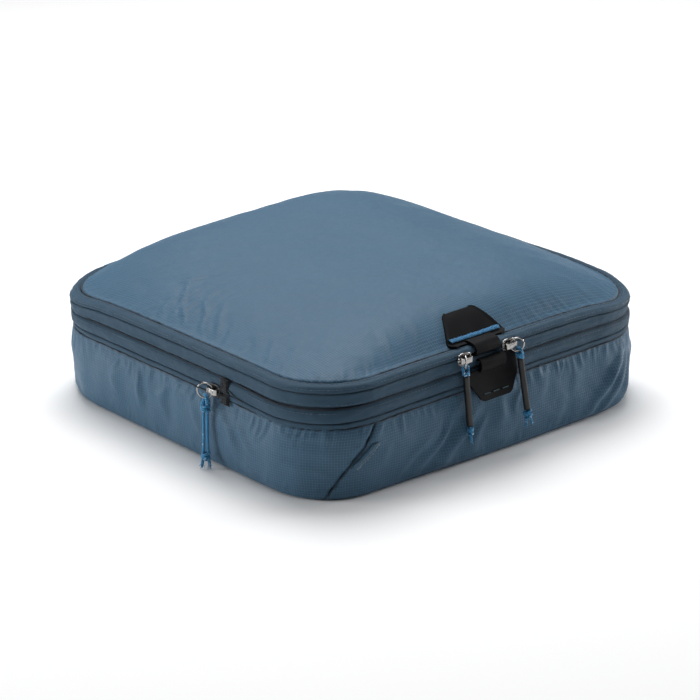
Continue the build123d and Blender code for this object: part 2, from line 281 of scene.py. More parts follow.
def ring_points(line, s, out=0.0, up=0.0):
    """Rows of points round the rim, one row for each (inset, height) of a line."""
    line = np.asarray(line)
    inset, z = line[:, :1] - out, line[:, 1:] + up
    x, y, _, _ = rim(s[None, :], inset)
    return np.stack([x, y, z + 0 * x], axis=-1)


BAND_STEP = 1.6  # between the columns of a tape's mesh


def band(name, line, body, material, replaces, count, span=None, relief=None,
         thickness=0.7):
    """A strip of cloth or tape round the rim, or along part of it."""
    rows = profile(line, count)
    start, end = span or (0.0, AROUND)
    columns = int((end - start) / BAND_STEP)
    s = start + np.linspace(0, end - start, columns, endpoint=span is not None)
    run = length_along(rows)
    grid_s, grid_v = np.meshgrid(s, run)
    out, up = sway(grid_s, rows[:, 1:] + 0 * grid_s)
    if relief is not None:
        extra_out, extra_up = relief(grid_s, rows[:, 1:] + 0 * grid_s, grid_v / run[-1])
        out, up = out + extra_out, up + extra_up
    points = ring_points(rows, s, out, up)
    weave = np.stack([grid_s, grid_v], axis=-1)
    cloth_sheet(name, points, weave, body, replaces, material, thickness,
                closed=span is None)


# ---------------------------------------------------------------- small solid pieces

def frame_at(origin, x_dir, z_dir):
    """The matrix of a frame, in mm, from its origin, its x axis and its z axis."""
    x, z = Vector(x_dir).normalized(), Vector(z_dir).normalized()
    return Matrix.Translation(Vector(origin)) @ Matrix((x, z.cross(x), z)).transposed().to_4x4()


def sweep(path, radius, sides=12, closed=False):
    """Rings of points round a path."""
    path = np.asarray(path, float)
    before, after = np.roll(path, 1, 0), np.roll(path, -1, 0)
    if not closed:
        before[0], after[-1] = path[0], path[-1]
    tangent = after - before
    tangent /= np.linalg.norm(tangent, axis=1)[:, None]
    side = np.cross(tangent[0], (0.31, 0.52, 0.79))
    normals = []
    for direction in tangent:
        side = side - direction * side.dot(direction)
        side = side / np.linalg.norm(side)
        normals.append(side)
    normal = np.array(normals)[:, None]
    other = np.cross(tangent, normal[:, 0])[:, None]
    turn = np.linspace(0, 2 * pi, sides, endpoint=False)[None, :, None]
    reach = np.broadcast_to(radius, len(path))[:, None, None]
    return path[:, None] + reach * (np.cos(turn) * normal + np.sin(turn) * other)


class Solid:
    """A piece put together from blocks, tubes and turned parts, in mm, in its own frame."""

    def __init__(self):
        self.work = bmesh.new()

    def rings(self, rings, closed=False):
        """Faces between rings of points. The first and last rings are filled, or joined up."""
        verts = [[self.work.verts.new(point) for point in ring] for ring in rings]
        sides = len(verts[0])
        pairs = list(zip(verts, verts[1:])) + ([(verts[-1], verts[0])] if closed else [])
        for one, two in pairs:
            for k in range(sides):
                m = (k + 1) % sides
                self.work.faces.new((one[k], one[m], two[m], two[k])).smooth = True
        if not closed:
            self.work.faces.new(verts[0][::-1]).smooth = True
            self.work.faces.new(verts[-1]).smooth = True

    def tube(self, path, radius, sides=12, count=40, flat=1.0):
        """A rod along a smooth path, with rounded ends."""
        path = profile(path, count)
        run = length_along(path)
        tip = np.array([0.0, 0.06, 0.25, 0.6, 1.0]) * radius
        middle = run[(run > radius) & (run < run[-1] - radius)]
        at = np.unique(np.concatenate([tip, middle, run[-1] - tip]))
        points = np.stack([np.interp(at, run, path[:, k]) for k in range(3)], axis=1)
        inside = np.clip(np.minimum(at, run[-1] - at) / radius, 0, 1)
        radii = radius * np.sqrt(np.clip(1 - (1 - inside) ** 2, 0.01, 1))
        rings = sweep(points, radii, sides)
        rings[..., 2] = points[:, None, 2] + flat * (rings[..., 2] - points[:, None, 2])
        self.rings(rings)

    def lathe(self, outline, sides=32):
        """A closed (radius, height) outline turned round the z axis."""
        turn = np.linspace(0, 2 * pi, sides, endpoint=False)
        points = profile(outline, 90)[:-1]
        rings = [
            np.stack([r * np.cos(turn), r * np.sin(turn), z + 0 * turn], axis=-1)
            for r, z in points
        ]
        self.rings(rings, closed=True)

    def block(self, outline, low, high, bevel, turn=Matrix(), material=0, segments=2):
        """An (x, y) outline between two heights, with its edges rounded off."""
        part = bmesh.new()
        bottom = [part.verts.new((x, y, low)) for x, y in outline]
        top = [part.verts.new((x, y, high)) for x, y in outline]
        part.faces.new(bottom[::-1])
        part.faces.new(top)
        for k in range(len(outline)):
            m = (k + 1) % len(outline)
            part.faces.new((bottom[k], bottom[m], top[m], top[k]))
        bmesh.ops.recalc_face_normals(part, faces=part.faces)
        bmesh.ops.bevel(
            part, geom=part.edges[:], offset=bevel, segments=segments, profile=0.5,
            affect="EDGES", clamp_overlap=True,
        )
        part.transform(turn)
        for face in part.faces:
            face.material_index = material
            face.smooth = True
        mesh = bpy.data.meshes.new("block")
        part.to_mesh(mesh)
        part.free()
        self.work.from_mesh(mesh)
        bpy.data.meshes.remove(mesh)

    def finish(self, name, place, body, replaces, materials):
        bmesh.ops.recalc_face_normals(self.work, faces=self.work.faces)
        self.work.transform(Matrix.Scale(MM, 4) @ place)
        mesh = bpy.data.meshes.new(name)
        self.work.to_mesh(mesh)
        self.work.free()
        piece = add_object(name, mesh, body, replaces, materials)
        piece.modifiers.new("normals", "WEIGHTED_NORMAL").keep_sharp = True
        return piece


def rods(name, starts, ends, radius, body, replaces, material, sides=6):
    """Many short rounded rods, such as stitches and teeth, as one piece."""
    starts, ends = np.asarray(starts, float), np.asarray(ends, float)
    axis = ends - starts
    length = np.linalg.norm(axis, axis=1)[:, None]
    axis /= length
    side = np.cross(axis, np.where(np.abs(axis[:, 2:]) < 0.8, (0.0, 0.0, 1.0), (1.0, 0.0, 0.0)))
    side /= np.linalg.norm(side, axis=1)[:, None]
    other = np.cross(axis, side)
    turn = np.linspace(0, 2 * pi, sides, endpoint=False)
    circle = np.cos(turn)[:, None] * side[:, None] + np.sin(turn)[:, None] * other[:, None]
    cut = np.minimum(0.6 * radius, 0.3 * length)
    places = [starts, starts + axis * cut, ends - axis * cut, ends]
    points = np.stack(
        [place[:, None] + share * radius * circle
         for place, share in zip(places, (0.4, 1.0, 1.0, 0.4))], axis=1,
    )
    first = np.arange(len(starts))[:, None] * 4 * sides
    k = np.arange(sides)
    m = (k + 1) % sides
    quads = np.concatenate(
        [np.stack([row * sides + k, row * sides + m, (row + 1) * sides + m,
                   (row + 1) * sides + k], axis=-1) for row in range(3)]
    )
    faces = (first[:, None] + quads[None]).reshape(-1, 4).tolist()
    faces += (first + k[::-1]).tolist() + (first + 3 * sides + k).tolist()
    mesh = bpy.data.meshes.new(name)
    mesh.from_pydata((points.reshape(-1, 3) * MM).tolist(), [], faces)
    mesh.polygons.foreach_set("use_smooth", [True] * len(mesh.polygons))
    mesh.update()
    return add_object(name, mesh, body, replaces, [material])


def coated_sheet(name, points, weave, body, replaces, thickness, offset=-1.0):
    """A thick sheet of coated cloth with a rounded rim."""
    sheet = cloth_sheet(name, points, weave, body, replaces, coated_black,
                        thickness, offset)
    bevel = sheet.modifiers.new("rim", "BEVEL")
    bevel.width = 0.3 * MM
    bevel.segments = 2
    bevel.limit_method = "ANGLE"
    bevel.angle_limit = radians(50)


def weave_by_place(mesh):
    """Sets a flat sheet's weave by the place of each point, in plan."""
    corner = np.zeros(len(mesh.loops), np.int32)
    mesh.loops.foreach_get("vertex_index", corner)
    place = np.zeros(len(mesh.vertices) * 3)
    mesh.vertices.foreach_get("co", place)
    flat = place.reshape(-1, 3)[corner][:, :2]
    mesh.uv_layers["weave"].data.foreach_set("uv", flat.astype(np.float32).ravel())


def fill_middle(mesh, reach):
    """Fills the small hole in the middle of a sheet made of rings."""
    work = bmesh.new()
    work.from_mesh(mesh)
    middle = [e for e in work.edges if e.is_boundary
              and max(abs(v.co.x) + abs(v.co.y) for v in e.verts) < reach * MM]
    bmesh.ops.holes_fill(work, edges=middle, sides=0)
    work.to_mesh(mesh)
    work.free()


# ---------------------------------------------------------------- materials

class Shader:
    """A material and its nodes, made one call at a time."""

    def __init__(self, name, colour, roughness=0.5, metallic=0.0, specular=0.5):
        self.material = bpy.data.materials.new(name)
        self.material.use_nodes = True
        self.tree = self.material.node_tree
        self.surface = self.tree.nodes["Principled BSDF"]
        self.surface.inputs["Base Color"].default_value = (*colour, 1)
        self.surface.inputs["Roughness"].default_value = roughness
        self.surface.inputs["Metallic"].default_value = metallic
        self.surface.inputs["Specular IOR Level"].default_value = specular

    def add(self, kind, settings=(), **inputs):
        node = self.tree.nodes.new(kind)
        for key, value in dict(settings).items():
            setattr(node, key, value)
        for key, value in inputs.items():
            socket = node.inputs[int(key[1:])] if key[1:].isdigit() else node.inputs[key]
            if isinstance(value, bpy.types.NodeSocket):
                self.tree.links.new(value, socket)
            else:
                socket.default_value = value
        return node.outputs[0]

    def math(self, operation, first, second=0.0):
        return self.add("ShaderNodeMath", {"operation": operation}, _0=first, _1=second)

    def weave(self):
        """The two coordinates of the cloth, along and across, in mm."""
        node = self.tree.nodes.new("ShaderNodeUVMap")
        node.uv_map = "weave"
        split = self.tree.nodes.new("ShaderNodeSeparateXYZ")
        self.tree.links.new(node.outputs[0], split.inputs[0])
        return [self.math("DIVIDE", split.outputs[k], MM) for k in (0, 1)]

    def place(self):
        """The point's own place, in mm."""
        node = self.tree.nodes.new("ShaderNodeTexCoord")
        scale = self.add(
            "ShaderNodeVectorMath", {"operation": "SCALE"}, _0=node.outputs["Object"], Scale=1 / MM
        )
        return scale

    def noise(self, size, detail=3.0, roughness=0.5):
        """Noise from 0 to 1 with features of about that size in mm."""
        return self.add(
            "ShaderNodeTexNoise", Vector=self.place(), Scale=1 / size, Detail=detail,
            Roughness=roughness,
        )

    def line(self, value, period):
        """1 on thin lines that repeat with that period, and 0 between them."""
        wave = self.math("SINE", self.math("MULTIPLY", value, 2 * pi / period))
        return self.ramp(wave, 0.7, 1.0)

    def ramp(self, value, start, end, low=0.0, high=1.0):
        node = self.tree.nodes.new("ShaderNodeMapRange")
        node.interpolation_type = "SMOOTHSTEP"
        self.tree.links.new(value, node.inputs[0])
        for index, number in zip((1, 2, 3, 4), (start, end, low, high)):
            node.inputs[index].default_value = number
        return node.outputs[0]

    def mix(self, share, first, second):
        node = self.tree.nodes.new("ShaderNodeMix")
        node.data_type = "RGBA"
        for index, value in ((0, share), (6, first), (7, second)):
            if isinstance(value, bpy.types.NodeSocket):
                self.tree.links.new(value, node.inputs[index])
            else:
                node.inputs[index].default_value = value if index == 0 else (*value, 1)
        return node.outputs[2]

    def set(self, socket, value):
        if isinstance(value, bpy.types.NodeSocket):
            self.tree.links.new(value, self.surface.inputs[socket])
        else:
            self.surface.inputs[socket].default_value = value

    def bump(self, height, distance):
        node = self.tree.nodes.new("ShaderNodeBump")
        node.inputs["Strength"].default_value = 1.0
        node.inputs["Distance"].default_value = distance * MM
        self.tree.links.new(height, node.inputs["Height"])
        self.tree.links.new(node.outputs[0], self.surface.inputs["Normal"])


def shade(colour, share):
    """The same colour, lighter or darker."""
    return tuple(min(1.0, channel * share) for channel in colour)


SLATE = (0.05, 0.106, 0.165)
# Near-black for the painted shade deep in the seams' grooves.
SEAM_SHADE_NAVY = (0.012, 0.02, 0.032)


def ripstop(name, colour, grid=2.1):
    """Thin nylon with a raised square grid, a fine twill between its lines and a soft sheen."""
    made = Shader(name, colour, roughness=0.46, specular=0.2)
    u, v = made.weave()
    lines = made.math("MAXIMUM", made.line(u, grid), made.line(v, grid))
    twill = made.math("SINE", made.math("MULTIPLY", made.math("ADD", u, v), 2 * pi / 0.55))
    cloud = made.noise(70, detail=2)
    fine = made.noise(5, detail=4, roughness=0.6)
    tone = made.mix(cloud, shade(colour, 0.9), shade(colour, 1.1))
    tone = made.mix(made.math("MULTIPLY", lines, 0.8), tone, shade(colour, 1.6))
    made.set("Base Color", tone)
    made.set("Roughness", made.ramp(fine, 0.2, 0.8, 0.4, 0.52))
    creases = made.math("ABSOLUTE", made.math("SUBTRACT", made.noise(24, detail=3), 0.5))
    height = made.math("ADD", made.math("MULTIPLY", lines, 0.7), made.math("MULTIPLY", twill, 0.12))
    height = made.math("ADD", height, made.math("MULTIPLY", fine, 1.6))
    height = made.math("ADD", height, made.math("MULTIPLY", creases, 14.0))
    made.bump(height, 0.12)
    made.set("Sheen Weight", 0.06)
    made.set("Sheen Roughness", 0.35)
    made.set("Sheen Tint", (0.7, 0.85, 1.0, 1.0))
    return made.material


def herringbone(name, colour, column=2.6, rib=0.95):
    """Woven zip tape: short slanting ribs that turn back at each column."""
    made = Shader(name, colour, roughness=0.62, specular=0.18)
    u, v = made.weave()
    turned = made.math("PINGPONG", v, column)
    ribs = made.math("SINE", made.math("MULTIPLY", made.math("ADD", u, turned), 2 * pi / rib))
    ribs = made.ramp(ribs, -1.0, 1.0)
    wear = made.noise(18, detail=4)
    tone = made.mix(ribs, shade(colour, 0.68), shade(colour, 1.22))
    tone = made.mix(made.math("MULTIPLY", wear, 0.3), tone, shade(colour, 1.25))
    made.set("Base Color", tone)
    made.bump(ribs, 0.16)
    made.set("Sheen Weight", 0.06)
    made.set("Sheen Roughness", 0.5)
    made.set("Sheen Tint", (0.75, 0.87, 1.0, 1.0))
    return made.material


def ribbed(name, colour, rib=0.9):
    """Grosgrain: straight ribs across the tape."""
    made = Shader(name, colour, roughness=0.7, specular=0.25)
    along = made.weave()[0]
    ribs = made.ramp(made.math("SINE", made.math("MULTIPLY", along, 2 * pi / rib)), -1, 1)
    threads = made.noise(0.6, detail=2)
    made.set("Base Color", made.mix(ribs, shade(colour, 0.6), shade(colour, 1.25)))
    made.bump(made.math("ADD", ribs, made.math("MULTIPLY", threads, 0.4)), 0.15)
    made.set("Sheen Weight", 0.2)
    return made.material


def coated(name, colour):
    """Matte rubbery coating over cloth, with a fine pebbled grain."""
    made = Shader(name, colour, roughness=0.66, specular=0.1)
    grain = made.add("ShaderNodeTexVoronoi", Vector=made.place(), Scale=1 / 0.55)
    smudge = made.noise(14, detail=4)
    made.set("Base Color", made.mix(smudge, shade(colour, 0.75), shade(colour, 1.5)))
    made.set("Roughness", made.ramp(smudge, 0.3, 0.7, 0.5, 0.62))
    made.bump(made.math("ADD", grain, made.math("MULTIPLY", smudge, 1.5)), 0.05)
    return made.material


def plastic(name, colour, roughness=0.4):
    """Moulded nylon or rubber with faint marks."""
    made = Shader(name, colour, roughness=roughness, specular=0.45)
    marks = made.noise(3, detail=5, roughness=0.65)
    made.set("Base Color", made.mix(marks, shade(colour, 0.8), shade(colour, 1.3)))
    made.set("Roughness", made.ramp(marks, 0.3, 0.7, roughness - 0.07, roughness + 0.08))
    made.bump(marks, 0.03)
    return made.material


def metal(name, colour, roughness):
    """Plated zinc: bright, with a cast surface under the plating and worn spots."""
    made = Shader(name, colour, roughness=roughness, metallic=1.0)
    cast = made.noise(1.6, detail=5, roughness=0.6)
    wear = made.noise(4.5, detail=3)
    made.set("Base Color", made.mix(wear, shade(colour, 0.82), shade(colour, 1.12)))
    made.set("Roughness", made.ramp(wear, 0.35, 0.7, roughness - 0.06, roughness + 0.12))
    made.bump(cast, 0.05)
    return made.material


def enamel(name, colour):
    """Black enamel over cast metal."""
    made = Shader(name, colour, roughness=0.34, specular=0.5)
    cast = made.noise(1.4, detail=4)
    made.set("Base Color", made.mix(cast, shade(colour, 0.7), shade(colour, 1.6)))
    made.bump(cast, 0.05)
    made.set("Coat Weight", 0.25)
    made.set("Coat Roughness", 0.2)
    return made.material


def thread(name, colour, light, twist=0.9, flecks=0.0):
    """Braided or twisted thread: slanting strands, and pale flecks where asked for."""
    made = Shader(name, colour, roughness=0.6, specular=0.3)
    axes = made.tree.nodes.new("ShaderNodeSeparateXYZ")
    made.tree.links.new(made.place(), axes.inputs[0])
    x, y, z = axes.outputs
    sideways = made.math("ADD", x, y)
    one = made.math("SINE", made.math("MULTIPLY", made.math("ADD", sideways, z), 2 * pi / twist))
    two = made.math(
        "SINE", made.math("MULTIPLY", made.math("SUBTRACT", sideways, z), 2 * pi / twist)
    )
    braid = made.ramp(made.math("MAXIMUM", one, two), -0.2, 1.0)
    tone = made.mix(braid, shade(colour, 0.5), light)
    if flecks:
        spots = made.ramp(made.noise(1.5, detail=1), 0.66, 0.7)
        tone = made.mix(made.math("MULTIPLY", spots, flecks), tone, (0.75, 0.85, 0.9))
    made.set("Base Color", tone)
    made.bump(braid, 0.14)
    made.set("Sheen Weight", 0.3)
    return made.material


shell_cloth = ripstop("shell_cloth", SLATE)
gusset_cloth = ripstop("gusset_cloth", shade(SLATE, 0.85))
zip_tape = herringbone("zip_tape", shade(SLATE, 0.72))
# seam_shadow is painted shade: a near-black material for the dark lines that stand for the shadow
# in the seams' grooves.
seam_shadow = ribbed("seam_shadow", SEAM_SHADE_NAVY)
binding_tape = ribbed("binding_tape", (0.035, 0.06, 0.09))
coil_nylon = plastic("coil_nylon", (0.035, 0.065, 0.095), 0.38)
tape_thread = thread("tape_thread", shade(SLATE, 0.75), shade(SLATE, 1.35))
seam_thread = thread("seam_thread", (0.01, 0.016, 0.024), (0.03, 0.05, 0.07))
coated_black = coated("coated_black", (0.003, 0.0032, 0.0042))
bartack_thread = thread("bartack_thread", (0.012, 0.15, 0.36), (0.035, 0.27, 0.55), twist=0.7)
dash_thread = thread("dash_thread", (0.012, 0.06, 0.085), (0.03, 0.1, 0.13), twist=0.7)
garage_webbing = ribbed("garage_webbing", (0.008, 0.008, 0.01), rib=1.3)
nickel = metal("nickel", (0.4, 0.39, 0.38), 0.2)
black_enamel = enamel("black_enamel", (0.008, 0.008, 0.009))
tube_rubber = plastic("tube_rubber", (0.009, 0.009, 0.01), 0.42)
cord_braid = thread("cord_braid", (0.012, 0.16, 0.36), (0.03, 0.28, 0.55), twist=1.5, flecks=0.8)
label_weave = ribbed("label_weave", shade(SLATE, 1.3), rib=0.7)
label_thread = thread("label_thread", (0.16, 0.24, 0.32), (0.34, 0.43, 0.5))


# ---------------------------------------------------------------- the walls

# Outer line of a wall as (inset, height, corner radius). The first and last points turn in
# under the base and into the seam.
WALL_LINE = [
    (10.0, 0.9, 40.0), (5.6, 0.3, 45.0), (2.4, 1.6, 48.5), (0.6, 5.0, 52.0), (-0.8, 12.0, 56.0),
    (-2.0, 25.0, 59.5), (-2.4, 36.0, 61.0), (-1.6, 47.0, 60.5), (0.0, 54.5, 59.0),
    (0.8, 56.7, 58.2), (2.6, 56.9, 56.4),
]
# Where a wall's slanting seam runs: (height, distance from the side of the cube).
SEAM_LINE = [(0.0, 17.0), (15.0, 24.0), (30.0, 33.5), (45.0, 46.0), (57.0, 55.0)]


def wall_frame(number):
    """Half length of that wall's own face, and of the face beyond the corner that it wraps."""
    return (HALF_WIDTH, HALF_DEPTH) if number % 2 == 0 else (HALF_DEPTH, HALF_WIDTH)


def wall_points(number, along, line, lift, raise_by):
    """Points of a wall. along runs from 0 to 1, from the seam at one end to the other."""
    half, beyond = wall_frame(number)
    inset, z, radius = (line[:, k:k + 1] for k in range(3))
    from_side = along_line(z, SEAM_LINE)
    flat, next_flat = half - inset - radius, beyond - inset - radius
    quarter = pi / 2 * radius

    def round_corner(reach, straight):
        return radius * np.arcsin(np.clip((reach - straight) / radius, 0, 1))

    near = np.minimum(half - from_side, flat) + round_corner(half - from_side, flat)
    past = np.maximum(next_flat - (beyond - from_side), 0)
    far = flat + quarter + past - round_corner(beyond - from_side, next_flat)
    wraps_start, wraps_end = WALL_WRAPS[number]
    first, last = -(far if wraps_start else near), (far if wraps_end else near)
    run = first + (last - first) * along
    bent = np.abs(run)
    turn = np.sign(run) * np.clip((bent - flat) / radius, 0, pi / 2)
    past_corner = np.clip(bent - flat - quarter, 0, None)
    reach = radius + lift
    x = np.clip(run, -flat, flat) + np.sin(turn) * reach
    y = -(beyond - inset - radius) - np.cos(turn) * reach + past_corner
    quarter_turn = number * pi / 2
    turned_x = x * cos(quarter_turn) - y * sin(quarter_turn)
    turned_y = x * sin(quarter_turn) + y * cos(quarter_turn)
    return np.stack([turned_x, turned_y, z + raise_by + 0 * x], axis=-1), run


def gathers(start, end, height, seed, gap=(5.0, 10.0), long=(7.0, 22.0), tall=(0.5, 1.3)):
    """Random short gathers that hang from a seam at that height, from start to end."""
    rng = np.random.default_rng(seed)
    strokes, place = [], start
    while place < end:
        drop = rng.uniform(*long)
        slant = rng.normal(0, 0.22) * drop
        strokes.append(
            (place, height, place + slant, height - drop, rng.uniform(0.9, 1.9),
             rng.uniform(*tall))
        )
        place += rng.uniform(*gap)
    return strokes


# Folds that show on each wall, in the wall's own plane: distance along from the middle of its
# face, height, then the other end, width and height of the fold.
WALL_FOLDS = [
    [  # front
        (-39, 50, -88, 8, 3.2, 3.2), (-22, 47, -62, 4, 3.6, 2.6), (-60, 44, -104, 12, 3.0, 1.8),
        (0, 46, -3, 22, 3.4, 1.6), (-14, 36, -30, 8, 3.4, 1.2), (22, 50, 12, 26, 2.6, 1.0),
        (48, 50, 40, 30, 3.0, 0.8), (84, 48, 78, 28, 3.0, 0.9), (146, 52, 84, 2, 3.4, 3.4),
        (150, 44, 104, 0, 2.6, 2.6), (140, 54, 112, 24, 2.2, 2.2), (156, 40, 128, 4, 2.8, 2.4),
        (-112, 40, -122, 20, 3.0, 1.0), (70, 30, 52, 8, 4.0, 1.0), (178, 50, 160, 10, 3.0, 1.6),
    ],
    [  # right
        (-60, 50, -84, 12, 3.4, 1.6), (-20, 52, -30, 20, 3.2, 1.2), (24, 48, 6, 10, 3.6, 1.6),
        (70, 50, 58, 22, 3.0, 1.0), (120, 50, 96, 6, 3.4, 2.0), (140, 44, 128, 12, 3.0, 1.4),
    ],
    [  # back
        (-80, 50, -98, 14, 3.4, 1.6), (-30, 46, -44, 12, 3.6, 1.4), (20, 50, 10, 22, 3.0, 1.0),
        (60, 48, 38, 8, 3.6, 1.8), (112, 50, 88, 8, 3.2, 2.0), (150, 48, 130, 10, 2.8, 1.8),
    ],
    [  # left
        (-41, 52, -38, 20, 3.2, 1.5), (-28, 54, -22, 34, 2.6, 1.0), (-8, 54, -14, 16, 3.4, 1.4),
        (-72, 52, -66, 24, 3.0, 1.0), (22, 50, 34, 22, 3.2, 1.4), (58, 52, 62, 30, 2.6, 1.0),
        (58, 52, 82, 14, 3.0, 2.0), (62, 50, 100, 26, 2.6, 1.4), (118, 47, 168, 50, 2.2, 1.0),
        (120, 37, 170, 41, 2.6, 0.9), (124, 26, 170, 24, 3.0, 0.8), (108, 54, 150, 53.5, 1.8, 0.9),
    ],
]
WALL_NAMES = ["front_wall", "right_wall", "back_wall", "left_wall"]
WALL_WRAPS = [(False, True), (False, True), (False, False), (True, True)]  # round its two corners
FACE_MIDDLE = STRAIGHT_X + QUARTER + STRAIGHT_Y
WALL_MIDDLES = [0.0, FACE_MIDDLE, AROUND / 2, -FACE_MIDDLE]  # distance round the rim


def wall_relief(number, run, z, along):
    """How far a wall's cloth stands out, and up, at each point."""
    warp = 2.2 * ripples(run, z, 38, 60 + number)
    run_w, z_w = run + warp, z + 1.6 * ripples(run, z, 44, 70 + number)
    out = 0.9 * ripples(run, 1.6 * z, 95, 80 + number) + 0.35 * ripples(run, z, 26, 90 + number)
    out += folds(run_w, z_w, WALL_FOLDS[number])
    out += folds(run_w, z_w, gathers(-240, 240, BASE_SEAM - 1.0, 20 + number), fade_both=False)
    out += folds(run_w, -z_w, gathers(-240, 240, -4.0, 30 + number, (14, 30), (8, 16), (0.2, 0.5)),
                 fade_both=False)
    hold = smooth(z, 0.8, 7.0) * (1 - 0.75 * smooth(z, BASE_SEAM - 3, BASE_SEAM - 0.2))
    from_end = np.minimum(along, 1 - along)
    end = smooth(from_end, 0.0, 0.02)
    pucker = 0.5 * ripples(z, 0 * z, 9, 40 + number) * (1 - smooth(from_end, 0, 0.05))
    sink = 1.6 * (1 - smooth(from_end, 0.0, 0.008))
    return out * hold * (0.25 + 0.75 * end) + pucker * hold - sink * hold


def bow(number, run, z):
    """How far the foot of a wall bows out from the straight line between its corners."""
    if number == 0:
        out = 7.6 * smooth(run, -160, 40) - 1.4 - 8.0 * smooth(run, 105, 165)
    elif number == 3:
        out = 0.6 - 2.0 * smooth(run, 90, 150) - 4.5 * smooth(-run, 95, 150)
    else:
        out = 2.0 * (1 - smooth(np.abs(run), 60, 160))
    return out * (1 - smooth(z, 6, 44))


def make_wall(number):
    line = profile(WALL_LINE, 62)
    along = np.linspace(0, 1, 260)[None, :]
    _, run = wall_points(number, along, line, 0.0, 0.0)
    z = line[:, 1:2] + 0 * run
    lift = wall_relief(number, run, z, along + 0 * z)
    out, up = sway(run + WALL_MIDDLES[number], z)
    lift = lift + out * smooth(z, 2, 12) + bow(number, run, z)
    points, run = wall_points(number, along, line, lift, up)
    weave = np.stack([run, length_along(line[:, :2])[:, None] + 0 * run], axis=-1)
    name = WALL_NAMES[number]
    cloth_sheet(f"{name}_cloth", points, weave, "base", [name], shell_cloth, 0.45)


for wall in range(4):
    make_wall(wall)


# ---------------------------------------------------------------- the lid's cloth

LID_HALF_X, LID_HALF_Y, LID_CORNER = HALF_WIDTH - 8, HALF_DEPTH - 8, CORNER - 8
DOME_RISE = 28.2


def lid_edge(x, y):
    """Distance inside the lid's seam."""
    qx = np.abs(x) - (LID_HALF_X - LID_CORNER)
    qy = np.abs(y) - (LID_HALF_Y - LID_CORNER)
    outside = np.hypot(np.maximum(qx, 0), np.maximum(qy, 0))
    return LID_CORNER - outside - np.minimum(np.maximum(qx, qy), 0)


def lid_height(x, y):
    """Height of the lid's smooth dome over the rest of the cube."""
    inside = np.clip(lid_edge(x, y), 0, None)
    share_x, share_y = np.clip(np.abs(x) / LID_HALF_X, 0, 1), np.clip(np.abs(y) / LID_HALF_Y, 0, 1)
    crown = (1 - share_x**3.33) * (1 - share_y**8.26) * (1 - np.exp(-inside / 5.61))
    return LID_SEAM + DOME_RISE * crown * (1 + 0.23 * x / LID_HALF_X + 0.16 * y / LID_HALF_Y)


# Folds on the lid: x, y, then the other end, width and height.
LID_FOLDS = [
    (-163, -14, -128, 18, 1.4, 1.6), (-160, -30, -126, 2, 1.6, 1.2), (-164, 4, -128, 44, 1.4, 1.4),
    (-150, 26, -116, 52, 1.3, 1.3), (-124, 48, -108, 40, 1.5, -0.8),
    (-128, 56, -120, 44, 1.2, 1.5), (-160, 16, -140, 22, 1.2, 1.0),
    (-162, -48, -138, -26, 1.8, 0.6), (-164, -76, -144, -56, 1.6, 0.5),
    (-162, -92, -140, -72, 1.8, 0.5), (-150, 40, -128, 30, 1.1, -1.0),
    (-166, 30, -140, 50, 1.5, 0.8), (-96, -154, -84, -126, 3.0, 0.7),
    (-60, -155, -56, -124, 3.0, 0.5), (60, -155, 66, -120, 3.2, 0.5),
    (110, -152, 100, -124, 3.0, 0.5), (-152, -106, -132, -96, 2.4, 0.4),
    (-140, -128, -124, -114, 2.4, 0.4),
]


def lid_relief(x, y, inside):
    warp = 2.0 * ripples(x, y, 42, 101)
    out = 0.55 * ripples(x, y, 120, 102) + 0.16 * ripples(x, y, 30, 103)
    out = out + folds(x + warp, y + 1.5 * ripples(x, y, 36, 104), LID_FOLDS)
    crumple = np.exp(-(((x + 134) / 24) ** 2 + ((y - 24) / 30) ** 2))
    sharp = np.abs(ripples(x, y, 15, 105)) - np.abs(ripples(x, y, 10, 106))
    out = out - 0.75 * crumple * sharp
    return out * smooth(inside, 0.5, 6.0)


def lid_gathers(turn_s, inside):
    """Short radial gathers round the lid's seam."""
    strokes = gathers(0, AROUND, 0.0, 50, (5.0, 13.0), (8.0, 26.0), (0.25, 0.75))
    return folds(turn_s, -inside, strokes, fade_both=False)


def make_lid_cloth():
    """The lid's cloth as nested rounded rectangles, from its seam to the middle."""
    columns, rings = 600, 80
    s = np.linspace(0, AROUND, columns, endpoint=False)
    share = np.concatenate([np.linspace(0, 0.12, 20)[:-1], np.linspace(0.12, 1, rings - 19)])
    edge_x, edge_y, _, _ = rim(s, 8.0)
    x = edge_x[None, :] * (1 - share[:, None])
    y = edge_y[None, :] * (1 - share[:, None])
    inside = lid_edge(x, y)
    under_tab = 1 - smooth(np.abs(x - UPPER_TAB_X), 26, 42)
    under_tab = under_tab * (1 - smooth(y + HALF_DEPTH, 32, 48))
    loose = lid_relief(x, y, inside) + lid_gathers(s[None, :] + 0 * x, inside)
    z = lid_height(x, y) + loose * (1 - 0.85 * under_tab)
    tuck = 1 - smooth(share, 0.0, 0.006)[:, None]
    z = z - 1.2 * tuck + 0.7 * (1 - tuck) * np.exp(-inside / 3.0)
    z = z - corner_sag(s)[None, :] * np.exp(-((inside / 48) ** 2))
    points = np.stack([x, y, z], axis=-1)
    mesh = grid_mesh("lid_cloth", points[:-1], points[:-1, :, :2], closed=True)
    weave_by_place(mesh)
    fill_middle(mesh, 12.0)
    lid = add_object("lid_cloth", mesh, "lid", ["top_panel"], [shell_cloth])
    thicken(lid, 0.45)


make_lid_cloth()


# ---------------------------------------------------------------- zip tapes and seams

def tape_relief(seed, slack=0.35):
    def relief(s, z, share):
        buckle = slack * ripples(s, 3 * z, 30, seed) + 0.14 * ripples(s, z, 7, seed + 1)
        edge = np.minimum(share, 1 - share)
        return buckle * smooth(edge, 0.0, 0.25), 0.0 * s
    return relief


BACK_ZIP_END = STRAIGHT_X - 1.0
ZIP_SPAN = (-(AROUND / 2 - BACK_ZIP_END), AROUND / 2 - BACK_ZIP_END)


